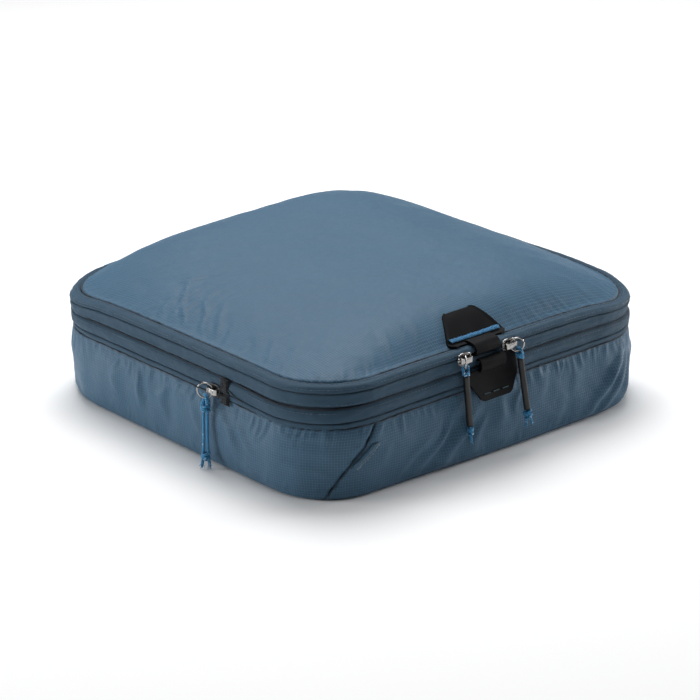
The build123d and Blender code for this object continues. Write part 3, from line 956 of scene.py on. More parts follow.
def zip_opening(s):
    """1 where the access zip stands open, between its two sliders."""
    s = both_ways(s)
    start = smooth(s, SLIDER_LEFT + 2, SLIDER_LEFT + 12)
    return start * (1 - smooth(s, SLIDER_RIGHT - 12, SLIDER_RIGHT - 2))


def open_between_sliders(direction):
    """The access zip's edge, which stands apart between its two sliders."""
    def relief(s, z, share):
        gap = zip_opening(s)
        near = share if direction < 0 else 1 - share
        base, _ = tape_relief(210 + direction)(s, z, share)
        return base, direction * 1.5 * gap * smooth(near, 0.2, 1.0)
    return relief


UPPER_TAPE = [
    (2.6, 84.25), (0.7, 84.25), (-0.1, 84.8), (-0.2, 86.0), (0.5, 87.7), (2.2, 89.2), (4.8, 89.9),
    (7.2, 89.7), (8.2, 88.3),
]
LOWER_TAPE = [
    (3.4, 73.3), (1.6, 73.35), (0.5, 74.4), (0.05, 76.5), (-0.1, 79.5), (-0.2, 82.4),
    (0.5, 83.55), (2.6, 83.6),
]
COMPRESSION_UPPER = [
    (1.6, 62.3), (0.0, 62.35), (-0.9, 63.0), (-1.4, 65.0), (-1.4, 68.0), (-0.7, 70.6),
    (0.4, 72.2), (1.8, 72.75), (3.4, 72.7),
]
COMPRESSION_LOWER = [
    (2.8, 57.2), (0.8, 57.25), (-0.2, 58.0), (-0.7, 59.4), (-0.8, 60.8), (-0.2, 61.6), (1.6, 61.7),
]

# Each tape: name, section, body, rows, the span that it covers and its own relief.
for name, line, body, rows, span, relief in (
    ("access_tape_upper", UPPER_TAPE, "lid", 20, ZIP_SPAN, open_between_sliders(1)),
    ("access_tape_lower", LOWER_TAPE, "middle_band", 18, ZIP_SPAN, open_between_sliders(-1)),
    ("compression_tape_upper", COMPRESSION_UPPER, "middle_band", 20, None, tape_relief(220)),
    ("compression_tape_lower", COMPRESSION_LOWER, "base", 14, None, tape_relief(230, 0.2)),
):
    band(f"{name}_cloth", line, body, zip_tape, [name], rows, span, relief)


# ---------------------------------------------------------------- painted seam shade, zip teeth and stitches

def on_rim(s, inset, z):
    """Points at that distance round the rim, wandering as the cloth does there."""
    s, inset, z = np.broadcast_arrays(np.asarray(s, float), inset, z)
    out, up = sway(s, z)
    x, y, _, _ = rim(s, inset - out)
    return np.stack([x, y, z + up], axis=-1)


def seam_shade_line(name, inset, z, radius, body):
    """Painted shade: a dark uneven line deep in the groove of a seam, all round the cube."""
    s = np.arange(0, AROUND, 1.9)
    uneven = 0.22 * ripples(s, 0 * s, 6.5, len(name))
    path = on_rim(s, inset + 0.6 * uneven, z + uneven)
    rings = sweep(path, radius * (1 + 0.25 * ripples(s, 0 * s, 4.0, 5)), 7, closed=True)
    rings = np.concatenate([rings, rings[:1]])
    s = np.append(s, AROUND)
    around = np.linspace(0, 2 * pi * radius, 7, endpoint=False)
    weave = np.stack(np.meshgrid(s, around, indexing="ij"), axis=-1)
    mesh = grid_mesh(name, rings, weave, closed=True)
    add_object(name, mesh, body, (), [seam_shadow])


# Painted shade: dark lines in the grooves of the lid, middle and base seams.
seam_shade_line("lid_seam", 8.0, 89.5, 0.6, "lid")
seam_shade_line("middle_seam", 0.9, 73.05, 0.45, "middle_band")
seam_shade_line("base_seam", 0.1, 57.0, 0.5, "base")


def seam_rows(number):
    """Points along the slanting seam at the start of a wall."""
    line = profile(WALL_LINE, 70)[6:-3]
    z = line[:, 1:2]
    _, run = wall_points(number, 0.0, line, 0.0, 0.0)
    out, up = sway(WALL_MIDDLES[number] + run, z)
    lift = 0.25 + out * smooth(z, 2, 12) + bow(number, run, z)
    points, _ = wall_points(number, 0.0, line, lift, up)
    return points[:, 0]


# Painted shade: a thin near-black tube along each wall's slanting seam, for the shadow in its
# groove.
for wall in range(4):
    path = seam_rows(wall)
    jagged = path + 0.25 * ripples(path[:, 2:3], np.arange(3) * 9.0, 8.0, 300 + wall)
    solid = Solid()
    solid.tube(jagged, 0.32, sides=7, count=90)
    solid.finish(f"{WALL_NAMES[wall]}_seam", Matrix(), "base", (), [seam_shadow])


TOOTH = 1.35  # pitch of the zips' teeth


def zip_teeth(zip_name, zip_z, inset, side, span, body, gap):
    """One side of a zip's coil: a tooth at every pitch, half a pitch from the other side's."""
    edge = "upper" if side > 0 else "lower"
    s = np.arange(span[0], span[1], TOOTH) + (TOOTH / 2 if side > 0 else 0.0)
    z = zip_z + side * 0.3 + side * 1.5 * gap(s)
    inner = on_rim(s, inset + 2.4, z + side * 0.9)
    outer = on_rim(s, inset, z)
    rods(f"{zip_name}_teeth_{edge}", inner, outer, 0.42, body,
         [f"{zip_name}_coil_{edge}"], coil_nylon)


def always_closed(s):
    return 0 * s


WHOLE = (0.0, AROUND - TOOTH)
zip_teeth("access", ACCESS_ZIP, 0.35, 1, ZIP_SPAN, "lid", zip_opening)
zip_teeth("access", ACCESS_ZIP, 0.35, -1, ZIP_SPAN, "middle_band", zip_opening)
zip_teeth("compression", COMPRESSION_ZIP, -0.2, 1, WHOLE, "middle_band", always_closed)
zip_teeth("compression", COMPRESSION_ZIP, -0.2, -1, WHOLE, "base", always_closed)


def stitch_row(name, span, inset, z, body):
    """A row of machine stitches round the cube."""
    long, gap = 2.3, 0.9
    s = np.arange(span[0], span[1] - long, long + gap)
    rods(name, on_rim(s, inset, z), on_rim(s + long, inset, z), 0.2, body, (),
         tape_thread)


stitch_row("upper_tape_stitches", ZIP_SPAN, 4.9, 90.05, "lid")
stitch_row("lower_tape_stitches", ZIP_SPAN, 0.2, 75.4, "middle_band")
stitch_row("compression_stitches", (0.0, AROUND), -0.95, 70.4, "middle_band")
stitch_row("upper_tape_zip_stitches", ZIP_SPAN, 0.15, 87.2, "lid")


# ---------------------------------------------------------------- gusset, hinge, base, bindings

def make_gusset():
    """The pleated band behind the compression zip, which lets the cube grow taller."""
    share = np.linspace(0, 1, 60)[:, None]
    z = BASE_SEAM + 0.6 + (MIDDLE_SEAM - BASE_SEAM - 1.2) * share
    s = np.arange(0, AROUND, 2.2)[None, :]
    pleat = 1.3 * np.sin(2 * pi * 3.0 * share) + 0.35 * ripples(s, 12 * z, 34, 401)
    x, y, _, _ = rim(s + 0 * z, 5.6 + pleat)
    points = np.stack([x, y, z + 0 * s], axis=-1)
    flat_height = 92.0
    weave = np.stack([s + 0 * z, share * flat_height + 0 * s], axis=-1)
    mesh = grid_mesh("gusset_cloth", points, weave, closed=True)
    gusset = add_object(
        "gusset_cloth", mesh, None, ["expansion_gusset"], [gusset_cloth]
    )
    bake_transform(gusset)
    thicken(gusset, 0.4)


def make_hinge():
    """The cloth that joins the lid to the cube along the back, where there is no zip."""
    line = profile(LOWER_TAPE[:-1] + [(0.0, ACCESS_ZIP)] + UPPER_TAPE[2:], 44)
    s = AROUND / 2 + np.linspace(-BACK_ZIP_END, BACK_ZIP_END, 140)
    grid_s, grid_z = np.meshgrid(s, line[:, 1])
    out, up = sway(grid_s, grid_z)
    crease = 0.5 * np.exp(-(((grid_z - ACCESS_ZIP) / 0.9) ** 2))
    points = ring_points(line, s, out - crease + 0.3 * ripples(grid_s, 3 * grid_z, 28, 402), up)
    weave = np.stack([grid_s, grid_z], axis=-1)
    mesh = grid_mesh("hinge_cloth", points, weave)
    hinge = add_object(
        "hinge_cloth", mesh, None, ["hinge_strip_lower", "hinge_strip_upper"],
        [shell_cloth],
    )
    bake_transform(hinge)
    thicken(hinge, 0.7)


def make_base():
    """The flat base, slightly uneven where the cloth isn't taut."""
    half = np.array([HALF_WIDTH - 6.5, HALF_DEPTH - 6.5])
    radius = 42.5
    turn = np.linspace(0, 2 * pi, 480, endpoint=False)
    square = np.stack([np.cos(turn), np.sin(turn)], axis=-1)
    square = np.sign(square) * np.abs(square) ** 0.6
    square /= np.max(np.abs(square), axis=1)[:, None]
    corner = np.maximum(np.abs(square) * half - (half - radius), 0)
    pull = np.hypot(corner[:, 0], corner[:, 1])
    keep = np.where(pull > radius, radius / np.maximum(pull, 1e-6), 1.0)[:, None]
    edge = np.sign(square) * np.where(
        corner > 0, half - radius + corner * keep, np.abs(square) * half
    )
    share = np.linspace(0.0, 0.985, 46)[:, None]
    x, y = edge[:, 0] * (1 - share), edge[:, 1] * (1 - share)
    z = 0.45 + 0.35 * (1 + ripples(x, y, 60, 403)) * smooth(share, 0, 0.1)
    mesh = grid_mesh("base_cloth", np.stack([x, y, z], axis=-1), np.stack([x, y], axis=-1), True)
    weave_by_place(mesh)
    fill_middle(mesh, 6.0)
    base = add_object("base_cloth", mesh, "base", ["base_panel"], [shell_cloth])
    thicken(base, 0.4, offset=1.0)


def make_binding(name, inset, z, body, node):
    """Ribbed tape folded over the raw edges inside a seam."""
    low, high = z
    line = [
        (inset[0], low), (inset[0] - 0.1, (low + high) / 2), (inset[0], high - 0.7),
        (sum(inset) / 2, high), (inset[1], high - 0.7), (inset[1] + 0.1, (low + high) / 2),
        (inset[1], low),
    ]
    band(name, line, body, binding_tape, [node], 22, thickness=0.3)


make_gusset()
make_hinge()
make_base()
make_binding("base_binding_tape", (2.0, 3.3), (50.0, 56.3), "base", "base_binding")
make_binding("middle_binding_tape", (2.6, 3.9), (70.2, 76.3), "middle_band", "middle_binding")
make_binding("lid_binding_tape", (9.2, 10.5), (82.0, 88.0), "lid", "lid_binding")


# ---------------------------------------------------------------- the care label

def make_label():
    """A folded care label with a frayed edge, caught in the slanting seam of the front wall."""
    line = profile([(-2.0, 25.0, 59.5), (-2.4, 34.0, 61.0), (-2.0, 42.5, 60.8)], 40)
    width, front_run = 5.4, 352.0
    wide = np.linspace(0, width, 12)[None, :]
    tilt = 1.6 + 3.4 * smooth(line[:, 1:2], 24, 44)
    along = (tilt + wide + 0.2 * ripples(wide, 2 * line[:, 1:2], 9, 404)) / front_run
    run = wall_points(0, along, line, 0.0, 0.0)[1]
    lift = 1.9 + 0.9 * np.sin(pi * wide / width) + bow(0, run, line[:, 1:2])
    points, _ = wall_points(0, along, line, lift, 0.0)
    weave = np.stack([run, line[:, 1:2] + 0 * run], axis=-1)
    cloth_sheet("label_cloth", points, weave, "base", ["seam_label"], label_weave,
                0.5)
    rng = np.random.default_rng(405)
    edge = points[1:-1, -1]
    starts = np.repeat(edge, 3, axis=0)
    ends = starts + rng.normal(0, 0.4, starts.shape) + [0.9, -0.6, 0.05]
    rods("label_fray", starts, ends, 0.17, "base", (), label_thread)


make_label()


# ---------------------------------------------------------------- the two grab tabs

def narrowing(place, points, corner):
    """Half width of a tab along its length, with its two ends' corners rounded off."""
    points = sorted(points)
    half = along_line(place, points)
    start, end = points[0][0], points[-1][0]
    inside = np.minimum(np.abs(place - start), np.abs(place - end))
    short = np.clip(1 - inside / corner, 0, 1)
    return half - corner * (1 - np.sqrt(np.clip(1 - short**2, 0, 1)))


def tab_height(x, y):
    """Height of the upper tab, which follows the lid and stands a little off it."""
    inset = y + HALF_DEPTH
    ledge = 90.9 + 0.28 * np.clip(inset - 4, 0, 4)
    return np.maximum(lid_height(x, y) + 1.25, ledge) + 0.15 * ripples(x, y, 30, 411)


def end_rows(start, end, count):
    """Rows from start to end that crowd together at both ends, where the corners turn."""
    share = 0.5 - 0.5 * np.cos(pi * np.linspace(0, 1, count))
    return start + (end - start) * share


def make_upper_tab():
    """The coated tab on the lid and the loop that hangs from it over the zip."""
    inset = end_rows(31.0, 6.2, 64)[:, None]
    half_widths = [(31.0, 15.6), (20.0, 22.6), (11.5, 28.2), (9.5, 28.6), (6.2, 27.0)]
    half = narrowing(inset, half_widths, 2.6)
    x = UPPER_TAB_X + half * np.linspace(-1, 1, 60)[None, :]
    y = inset - HALF_DEPTH + 0 * x
    curl = 0.5 * smooth(np.abs(x - UPPER_TAB_X) / half, 0.85, 1.0)
    points = np.stack([x, y, tab_height(x, y) + curl], axis=-1)
    weave = np.stack([x, y], axis=-1)
    coated_sheet("upper_tab_sheet", points, weave, "lid", ["upper_tab"], 1.2, offset=1.0)
    line = profile(
        [(9.5, 91.9), (6.5, 92.2), (3.4, 92.2), (0.4, 91.5), (-1.8, 89.6), (-2.7, 87.2),
         (-2.3, 85.6), (-1.0, 85.2), (0.8, 86.2)], 44,
    )
    make_loop("upper_tab_loop", line, UPPER_TAB_X, 12.6, "lid")


def make_loop(name, line, middle, half, body):
    """A strip of coated cloth, folded over, with that (inset, height) line as its section."""
    across = np.linspace(-1, 1, 40)[None, :]
    x = middle + half * across + 0 * line[:, :1]
    bulge = 0.35 * (1 - across**2)
    y = line[:, :1] - HALF_DEPTH - bulge
    points = np.stack([x, y, line[:, 1:2] + 0.1 * ripples(x, y, 12, 412)], axis=-1)
    weave = np.stack([x, y], axis=-1)
    coated_sheet(name, points, weave, body, (), 1.1)


def make_bartack():
    """Two passes of tight zigzag across the lower edge of the upper tab."""
    pitch, reach = 0.62, 25.0
    x = np.arange(-reach, reach, pitch)
    swing = np.where(np.arange(len(x)) % 2 == 0, 1.0, -1.0)
    rng = np.random.default_rng(413)
    parts = []
    for shift in (0.0, 0.3):
        y = 11.4 + 1.45 * swing + rng.normal(0, 0.12, len(x)) - HALF_DEPTH
        place_x = UPPER_TAB_X + x + shift
        z = tab_height(place_x, y) + 1.35 + 0.5 * shift
        parts.append(np.stack([place_x, y, z], axis=-1))
    starts = np.concatenate([part[:-1] for part in parts])
    ends = np.concatenate([part[1:] for part in parts])
    rods(
        "upper_tab_zigzag", starts, ends, 0.36, "lid", ["upper_tab_bartack"],
        bartack_thread,
    )


# How far outside the outline the lower tab lies: (height, inset).
LOWER_TAB_LINE = [
    (49.0, -9.4), (54.0, -7.6), (60.0, -5.8), (68.0, -4.0), (75.0, -2.8), (80.5, -2.3),
]


def lower_tab_inset(z):
    return along_line(z, LOWER_TAB_LINE)


def make_lower_tab():
    """The coated tab below the zip: a tapered sheet with a rolled loop over its top."""
    z = end_rows(80.0, 49.0, 64)[:, None]
    half_widths = [(49.0, 15.4), (54.0, 18.4), (62.5, 24.0), (65.0, 24.6), (80.0, 24.4)]
    half = narrowing(z, half_widths, 3.2)
    x = LOWER_TAB_X + half * np.linspace(-1, 1, 56)[None, :]
    z = z - 7.5 * (1 - smooth(x, -26, 4)) * smooth(z, 66, 80)
    y = lower_tab_inset(z) - HALF_DEPTH - 0.3 * ripples(x, z, 34, 414) + 0 * x
    points = np.stack([x, y, z + 0 * x], axis=-1)
    weave = np.stack([x, z + 0 * x], axis=-1)
    coated_sheet("lower_tab_sheet", points, weave, "middle_band", ["lower_tab"], 1.1, offset=0.0)
    line = profile(
        [(-1.4, 78.6), (-2.8, 80.2), (-4.9, 79.8), (-6.2, 77.6), (-6.5, 75.2), (-6.0, 72.9),
         (-4.9, 72.0), (-4.0, 72.8)], 40,
    )
    make_loop("lower_tab_loop", line, LOWER_TAB_X - 2.0, 12.8, "middle_band")
    starts, ends = [], []
    for middle in (-9.6, 0.0, 9.6):
        for step in range(5):
            x0 = LOWER_TAB_X + middle - 3.0 + 1.2 * step
            z0 = 54.0 + 0.35 * (step % 2)
            out = -HALF_DEPTH + lower_tab_inset(z0) - 0.75
            starts.append((x0, out, z0))
            ends.append((x0 + 1.25, out, z0 + 0.35 - 0.7 * (step % 2)))
    rods(
        "lower_tab_dashes", np.array(starts), np.array(ends), 0.42, "middle_band",
        ["lower_tab_stitches"], dash_thread,
    )


make_upper_tab()
make_bartack()
make_lower_tab()


# ---------------------------------------------------------------- the zip's end piece

GARAGE_SPAN = (-68.4, -59.6)  # along the left side


def make_garage(name, z, body, node):
    """Half of the black end piece of the compression zip, with its crossed stitches."""
    y = np.linspace(*GARAGE_SPAN, 22)[None, :]
    height = np.linspace(*z, 26)[:, None]
    from_sides = np.minimum(y - GARAGE_SPAN[0], GARAGE_SPAN[1] - y)
    inside = np.minimum(from_sides, np.minimum(height - z[0], z[1] - height))
    out = 1.5 + 1.3 * smooth(inside, 0.0, 1.6) + 0.15 * ripples(y, height, 5, 421)
    x = -HALF_WIDTH - out
    points = np.stack([x, y + 0 * height, height + 0 * y], axis=-1)
    weave = np.stack([height + 0 * y, y + 0 * height], axis=-1)
    cloth_sheet(name, points, weave, body, [node], garage_webbing, 1.2, 1.0)
    starts, ends = [], []
    for row in np.arange(z[0] + 1.2, z[1] - 1.6, 1.7):
        for column in np.arange(-67.4, -61.2, 1.9):
            starts.append((-HALF_WIDTH - 3.0, column, row))
            ends.append((-HALF_WIDTH - 3.0, column + 1.5, row + 1.1))
    rods(f"{name}_stitches", np.array(starts), np.array(ends), 0.38, body, (),
         seam_thread)


make_garage("garage_upper", (COMPRESSION_ZIP + 0.5, 74.2), "middle_band", "zip_garage_upper")
make_garage("garage_lower", (53.2, COMPRESSION_ZIP - 0.5), "base", "zip_garage_lower")
curl = Solid()
curl.tube(
    [(-HALF_WIDTH - 1.9, y, z) for y, z in ((-68, 66.4), (-71, 65.8), (-74.5, 64.2), (-79, 62.7),
                                            (-85, 62.1))], 0.5, sides=8, count=30,
)
curl.finish("zip_end_curl", Matrix(), "middle_band", (), [seam_shadow])


# ---------------------------------------------------------------- sliders, rings and pulls

PLATE_GAP, PLATE, TUNNEL = 0.4, 1.0, 2.8  # off the tape, plate's thickness, under the crown
RING_OUT = PLATE_GAP + PLATE + TUNNEL / 2
FRONT_RING, COMPRESSION_RING, RING_WIRE = 5.2, 5.9, 1.3


def rounded_outline(half_long, half_wide, corner, steps=6):
    """A rounded rectangle's points, anticlockwise."""
    points = []
    for quarter, (a, b) in enumerate([(1, 1), (-1, 1), (-1, -1), (1, -1)]):
        for step in range(steps + 1):
            turn = (quarter + step / steps) * pi / 2
            points.append((a * (half_long - corner) + corner * cos(turn),
                           b * (half_wide - corner) + corner * sin(turn)))
    return points


def make_slider(name, plane, side, back_depth, body, materials):
    """A cast slider: boat-shaped plates with rolled flanges, a domed nose and a crown."""
    solid = Solid()
    crown_material = len(materials) - 1
    boat = [(-6.2, -2.2), (-5.2, -3.8), (-3.0, -4.7), (3.4, -4.7), (5.6, -3.9), (6.3, -2.6),
            (6.3, 2.6), (5.6, 3.9), (3.4, 4.7), (-3.0, 4.7), (-5.2, 3.8), (-6.2, 2.2)]
    solid.block(boat, PLATE_GAP, PLATE_GAP + PLATE, 0.28)
    for flange in (-1, 1):
        rail = [(-4.6, flange * 4.1, 1.2), (-1.5, flange * 4.55, 1.45), (2.5, flange * 4.5, 1.45),
                (5.2, flange * 3.7, 1.3)]
        solid.tube(rail, 0.62, sides=12, count=14)
        prong = [(4.6, flange * 2.6, 1.4), (5.9, flange * 2.9, 1.3), (6.4, flange * 2.7, 0.6)]
        solid.tube(prong, 0.8, sides=12, count=12)
    nose = [(-3.6, 0.0, 1.5), (-5.2, 0.0, 1.7), (-6.1, 0.0, 1.0), (-6.3, 0.0, 0.4)]
    solid.tube(nose, 1.9, sides=20, count=16, flat=0.7)
    top = PLATE_GAP + PLATE + TUNNEL
    arch = [
        (-5.4, 1.1), (-5.6, top - 0.4), (-5.0, top + 0.9), (-4.2, top + 1.35), (4.2, top + 1.35),
        (5.0, top + 0.9), (5.6, top - 0.4), (5.4, 1.1), (4.3, 1.1), (4.35, top - 0.5),
        (3.8, top), (-3.8, top), (-4.35, top - 0.5), (-4.3, 1.1),
    ]
    solid.block(arch, -2.25, 2.25, 0.42, AS_PROFILE, crown_material, segments=3)
    inset_top = rounded_outline(3.1, 1.15, 0.9)
    solid.block(inset_top, top + 1.2, top + 1.62, 0.16, Matrix(), crown_material)
    solid.block(rounded_outline(1.5, 0.3, 0.25), -back_depth - 0.1, PLATE_GAP + 0.1, 0.05)
    solid.block(rounded_outline(5.4, 3.0, 1.6), -back_depth - 0.9, -back_depth, 0.2)
    turned = plane if side < 0 else plane @ Matrix.Rotation(pi, 4, "Z")
    return solid.finish(name, turned, body, [name], materials)


AS_PROFILE = Matrix(((1, 0, 0, 0), (0, 0, 1, 0), (0, 1, 0, 0), (0, 0, 0, 1)))


def ring_centre(plane, direction, radius):
    return plane.translation + plane.col[2].to_3d() * RING_OUT + direction * radius


def make_ring(name, plane, direction, radius, body, node):
    """A ring bent from wire, with the joint of its two ends beside the crown."""
    centre = ring_centre(plane, direction, radius)
    turn = np.linspace(radians(24), radians(24 + 356.5), 110)[:, None]
    wobble = 1 + 0.006 * np.sin(3 * turn)
    around = np.cos(turn) * np.array(direction) + np.sin(turn) * np.array([0.0, 0.0, 1.0])
    path = np.array(centre) + radius * wobble * around
    solid = Solid()
    solid.tube(path, RING_WIRE / 2, sides=18, count=120)
    return solid.finish(name, Matrix(), body, [node], [nickel])


def pull_frame(plane, side, direction, radius, hang, lean_out, lean_side):
    """Frame of a pull: origin in its ring's wire, x along the wire's bottom, z up.

    hang is how far round the ring the pull hangs, in degrees from the ring's lowest point.
    """
    bottom = direction * sin(radians(hang)) - Vector((0, 0, cos(radians(hang))))
    wire = ring_centre(plane, direction, radius) + bottom * radius
    lean = Matrix.Rotation(radians(lean_out), 4, "X") @ Matrix.Rotation(radians(lean_side), 4, "Y")
    return frame_at(wire, direction * side, (0, 0, 1)) @ lean


def cord_route(strand, bight, length, tail):
    """The cord's points: folded over the ring's wire, with both ends below its knot."""
    half = [
        (-strand - 1.4, -0.5, -length - tail), (-strand, 0.0, -length + 1.5),
        (-strand, 0.3, -6.4), (-1.6, bight - 0.2, -2.0), (-1.3, bight - 0.1, bight),
    ]
    return half + [(-x, -y, z) for x, y, z in reversed(half)]


def make_cord(name, place, route, diameter, body, node):
    """The cord itself, as one smooth curve through its route."""
    curve = bpy.data.curves.new(name, "CURVE")
    curve.dimensions = "3D"
    curve.bevel_depth = diameter / 2 * MM
    curve.bevel_resolution = 4
    curve.resolution_u = 24
    curve.use_fill_caps = True
    spline = curve.splines.new("NURBS")
    spline.points.add(len(route) - 1)
    for point, local in zip(spline.points, route):
        point.co = (*(place @ Vector(local) * MM), 1.0)
    spline.order_u = 3
    spline.use_endpoint_u = True
    curve.materials.append(cord_braid)
    cord = bpy.data.objects.new(name, curve)
    bpy.context.scene.collection.objects.link(cord)
    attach(cord, body)
    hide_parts(node)
    return cord


def wrap(middle, turns, wide, deep, tall, tilt, start=0.0):
    """A cord's path round the two strands, with its ends tucked in between them."""
    t = np.linspace(0, 1, 60)
    turn = 2 * pi * (start + turns * t)
    tuck = 0.3 + 0.7 * smooth(t, 0, 0.1) * (1 - smooth(t, 0.9, 1))
    return np.stack(
        [wide * np.cos(turn) * tuck, deep * np.sin(turn) * tuck,
         middle + tall * (0.5 - t) + tilt * np.cos(turn)], axis=-1,
    )


def tie(name, paths, radius, place, body, nodes):
    """A knot or a hitch, from the paths of the cord's turns."""
    solid = Solid()
    for path in paths:
        solid.tube(path, radius, sides=12, count=90)
    return solid.finish(name, place, body, nodes, [cord_braid])


def fray(name, place, route, radius, body):
    """Loose fibres at the cord's two cut ends."""
    rng = np.random.default_rng(len(name))
    starts, ends = [], []
    for end, before in ((route[0], route[1]), (route[-1], route[-2])):
        tip = np.array(end)
        along = (tip - np.array(before)) / np.linalg.norm(tip - np.array(before))
        for _ in range(16):
            aside = rng.normal(0, 0.45 * radius, 3)
            starts.append(tip + aside - 0.5 * along)
            ends.append(tip + 1.9 * aside + along * rng.uniform(0.5, 1.5))
    to_world = np.array(place)
    starts = np.array(starts) @ to_world[:3, :3].T + to_world[:3, 3]
    ends = np.array(ends) @ to_world[:3, :3].T + to_world[:3, 3]
    return rods(name, starts, ends, 0.16, body, (), cord_braid)


def make_front_pull(side_name, place):
    """A cord looped over the ring, with a tube over both strands and a knot under the tube."""
    body = f"pull_{side_name}"
    route = cord_route(0.95, 2.3, 50.5, 8.0)
    cord = make_cord(f"{body}_cord", place, route, 1.6, body, f"pull_cord_{side_name}")
    hitch = tie(
        f"{body}_hitch",
        [wrap(-2.6, 1.6, 2.3, 2.0, 1.8, 0.9), wrap(-4.4, 1.7, 2.3, 2.2, 1.8, -0.7, 0.4),
         [(-2.2, 0.9, -4.2), (-2.4, 1.2, -2.4), (-1.5, 1.7, 0.3), (0.2, 1.5, 1.3)],
         [(2.1, -0.7, -4.4), (2.4, 0.2, -2.6), (1.9, 1.3, -0.8), (0.6, 1.8, 0.6)]],
        0.85, place, body, [f"pull_hitch_{side_name}"],
    )
    sleeve = Solid()
    bore, outside, top, bottom = 1.95, 2.45, -6.15, -46.65
    sleeve.lathe(
        [(bore, bottom + 0.5), (bore, -26.0), (bore, top - 0.6), (bore + 0.15, top - 0.1),
         (bore + 0.35, top), (outside + 0.05, top - 0.35), (outside, top - 2.0),
         (outside - 0.04, -16.0), (outside + 0.02, -26.0), (outside - 0.03, -36.0),
         (outside, bottom + 2.0), (outside + 0.06, bottom + 0.3), (bore + 0.35, bottom),
         (bore + 0.15, bottom + 0.1), (bore, bottom + 0.5)],
    )
    tube = sleeve.finish(
        f"{body}_tube", place, body, [f"pull_tube_{side_name}"], [tube_rubber]
    )
    knot = tie(
        f"{body}_knot",
        [wrap(-48.4, 1.3, 2.7, 1.8, 1.4, 1.0), wrap(-50.4, 1.4, 3.1, 2.0, 1.8, -0.9, 0.35),
         wrap(-52.3, 1.2, 2.3, 1.7, 1.2, 0.8, 0.7)],
        0.85, place, body, [f"pull_knot_{side_name}"],
    )
    tails = fray(f"{body}_fray", place, route, 0.8, body)


def make_compression_pull(place):
    """A thicker cord looped over the ring, held by a hitch and an overhand knot."""
    body = "pull_compression"
    route = cord_route(1.45, 2.4, 45.5, 8.0)
    cord = make_cord("compression_pull_cord", place, route, 2.3, body, "compression_cord")
    hitch = tie(
        "compression_pull_hitch",
        [wrap(-6.6, 1.3, 2.7, 2.0, 2.0, 1.2), wrap(-9.0, 1.4, 2.8, 2.1, 2.2, -1.0, 0.45),
         [(-2.4, 0.4, -8.5), (-2.6, 1.2, -5.0), (-1.2, 1.9, -2.0), (0.6, 1.6, -1.0)],
         [(2.4, -0.4, -9.5), (2.7, 0.6, -6.0), (2.2, 1.2, -3.0), (1.2, 1.6, -1.4)]],
        1.12, place, body, ["compression_hitch"],
    )
    knot = tie(
        "compression_pull_knot",
        [wrap(-44.2, 1.3, 2.6, 2.0, 2.0, 1.2, 0.1), wrap(-46.6, 1.4, 2.7, 2.1, 2.4, -1.1, 0.5)],
        1.12, place, body, ["compression_knot"],
    )
    tails = fray("compression_pull_fray", place, route, 1.15, body)


def ring_direction(plane, side, swing):
    along, out = plane.col[0].to_3d(), plane.col[2].to_3d()
    return along * (side * cos(radians(swing))) + out * sin(radians(swing))


def make_hardware():
    # Each: name, where its slider sits, the side that its ring points to, the ring's swing, how
    # far round the ring the pull hangs, and the pull's leans out and sideways, in degrees
    fronts = [
        ("left", SLIDER_LEFT, -1, 46.0, 0.0, -5.0, -4.0),
        ("right", SLIDER_RIGHT, 1, 35.0, 20.0, -5.0, -8.0),
    ]
    for name, x, side, swing, hang, lean_out, lean_side in fronts:
        plane = frame_at((x, -HALF_DEPTH, ACCESS_ZIP), (1, 0, 0), (0, -1, 0))
        direction = ring_direction(plane, side, swing)
        make_slider(f"slider_{name}", plane, side, 2.6, f"slider_{name}", [nickel])
        make_ring(
            f"ring_{name}_wire", plane, direction, FRONT_RING, f"ring_{name}", f"pull_ring_{name}"
        )
        place = pull_frame(plane, side, direction, FRONT_RING, hang, lean_out, lean_side)
        make_front_pull(name, place)
    plane = frame_at(
        (-HALF_WIDTH - 1.0, COMPRESSION_SLIDER, COMPRESSION_ZIP), (0, -1, 0), (-1, 0, 0)
    )
    direction = ring_direction(plane, -1, 40.0)
    make_slider(
        "compression_slider", plane, -1, 3.2, "compression_slider", [black_enamel, nickel],
    )
    make_ring(
        "ring_compression_wire", plane, direction, COMPRESSION_RING, "ring_compression",
        "compression_ring",
    )
    make_compression_pull(
        pull_frame(plane, -1, direction, COMPRESSION_RING, 0.0, -3.0, 0.0)
    )


make_hardware()


# ---------------------------------------------------------------- camera, light and floor

CAMERA_PLACE = (-1.2533, -1.4148, 0.7665)
CAMERA_TARGET = Vector((0.0, 0.0, 0.032))
CAMERA_LENS, CAMERA_SENSOR = 130.9, 36.0
FLOOR_SIDE = 8.0
HORIZON, ZENITH = 0.05, 0.9  # strength of the studio sky low down and overhead


def make_camera():
    camera = bpy.data.objects.new("camera", bpy.data.cameras.new("camera"))
    bpy.context.scene.collection.objects.link(camera)
    camera.location = CAMERA_PLACE
    aim = (CAMERA_TARGET - camera.location).to_track_quat("-Z", "Y")
    camera.rotation_euler = aim.to_euler()
    camera.data.lens = CAMERA_LENS
    camera.data.sensor_width = CAMERA_SENSOR
    bpy.context.scene.camera = camera


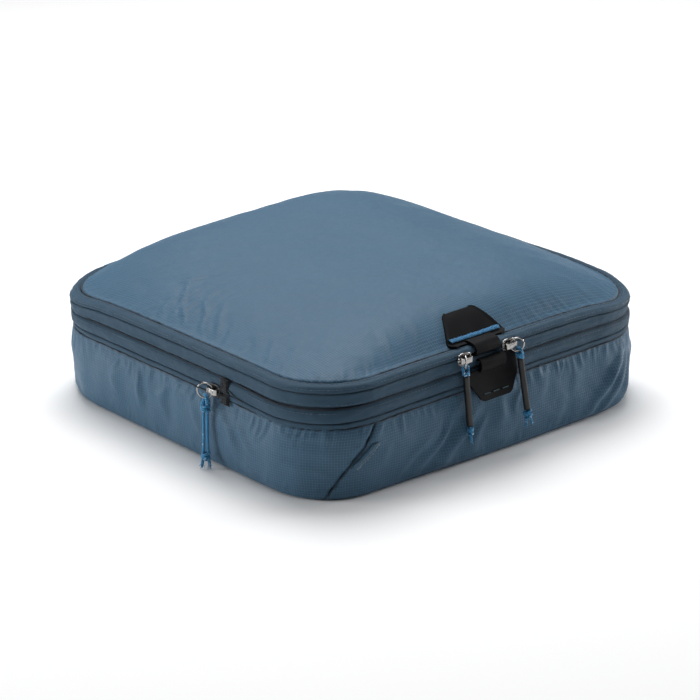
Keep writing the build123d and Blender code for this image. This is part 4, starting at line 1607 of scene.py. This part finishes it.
def make_light(name, place, size, power):
    """A soft rectangular lamp that points at the cube."""
    light = bpy.data.lights.new(name, "AREA")
    light.shape = "RECTANGLE"
    light.size, light.size_y = size
    light.energy = power
    lamp = bpy.data.objects.new(name, light)
    bpy.context.scene.collection.objects.link(lamp)
    lamp.location = place
    lamp.rotation_euler = (Vector((0, 0, 0.05)) - lamp.location).to_track_quat("-Z", "Y").to_euler()


def make_floor():
    mesh = bpy.data.meshes.new("floor")
    corners = [(-1, -1), (1, -1), (1, 1), (-1, 1)]
    mesh.from_pydata([(x * FLOOR_SIDE, y * FLOOR_SIDE, 0) for x, y in corners], [], [range(4)])
    floor = bpy.data.objects.new("floor", mesh)
    bpy.context.scene.collection.objects.link(floor)
    paper = Shader("paper", (0.93, 0.93, 0.93), roughness=0.9, specular=0.1)
    mesh.materials.append(paper.material)


def make_world():
    """A studio sky that is bright overhead and dim near the horizon. The camera sees it white."""
    world = bpy.data.worlds.new("studio")
    world.use_nodes = True
    tree = world.node_tree
    background = tree.nodes["Background"]

    def add(kind, *values, **settings):
        node = tree.nodes.new(kind)
        for key, value in settings.items():
            setattr(node, key, value)
        for index, value in enumerate(values):
            if isinstance(value, bpy.types.NodeSocket):
                tree.links.new(value, node.inputs[index])
            elif value is not None:
                node.inputs[index].default_value = value
        return node

    split = add("ShaderNodeSeparateXYZ", add("ShaderNodeTexCoord").outputs["Generated"])
    up = add("ShaderNodeMath", split.outputs[2], 0.0, operation="MAXIMUM").outputs[0]
    peak = add("ShaderNodeMath", up, 4.0, operation="POWER").outputs[0]
    strength = add("ShaderNodeMath", peak, ZENITH, HORIZON, operation="MULTIPLY_ADD").outputs[0]
    seen = add("ShaderNodeLightPath").outputs["Is Camera Ray"]
    mixed = add("ShaderNodeMix", seen, None, strength, 1.0).outputs[0]
    tree.links.new(mixed, background.inputs["Strength"])
    background.inputs["Color"].default_value = (0.98, 0.99, 1.0, 1)
    bpy.context.scene.world = world


make_camera()
make_world()
make_floor()
make_light("overhead", (0.35, 0.55, 1.5), (1.1, 1.1), 27)
make_light("left", (-1.75, 1.25, 0.4), (0.8, 0.5), 24)
make_light("right", (1.85, -0.6, 0.42), (0.8, 0.5), 18)
bpy.context.scene.view_settings.view_transform = "Standard"
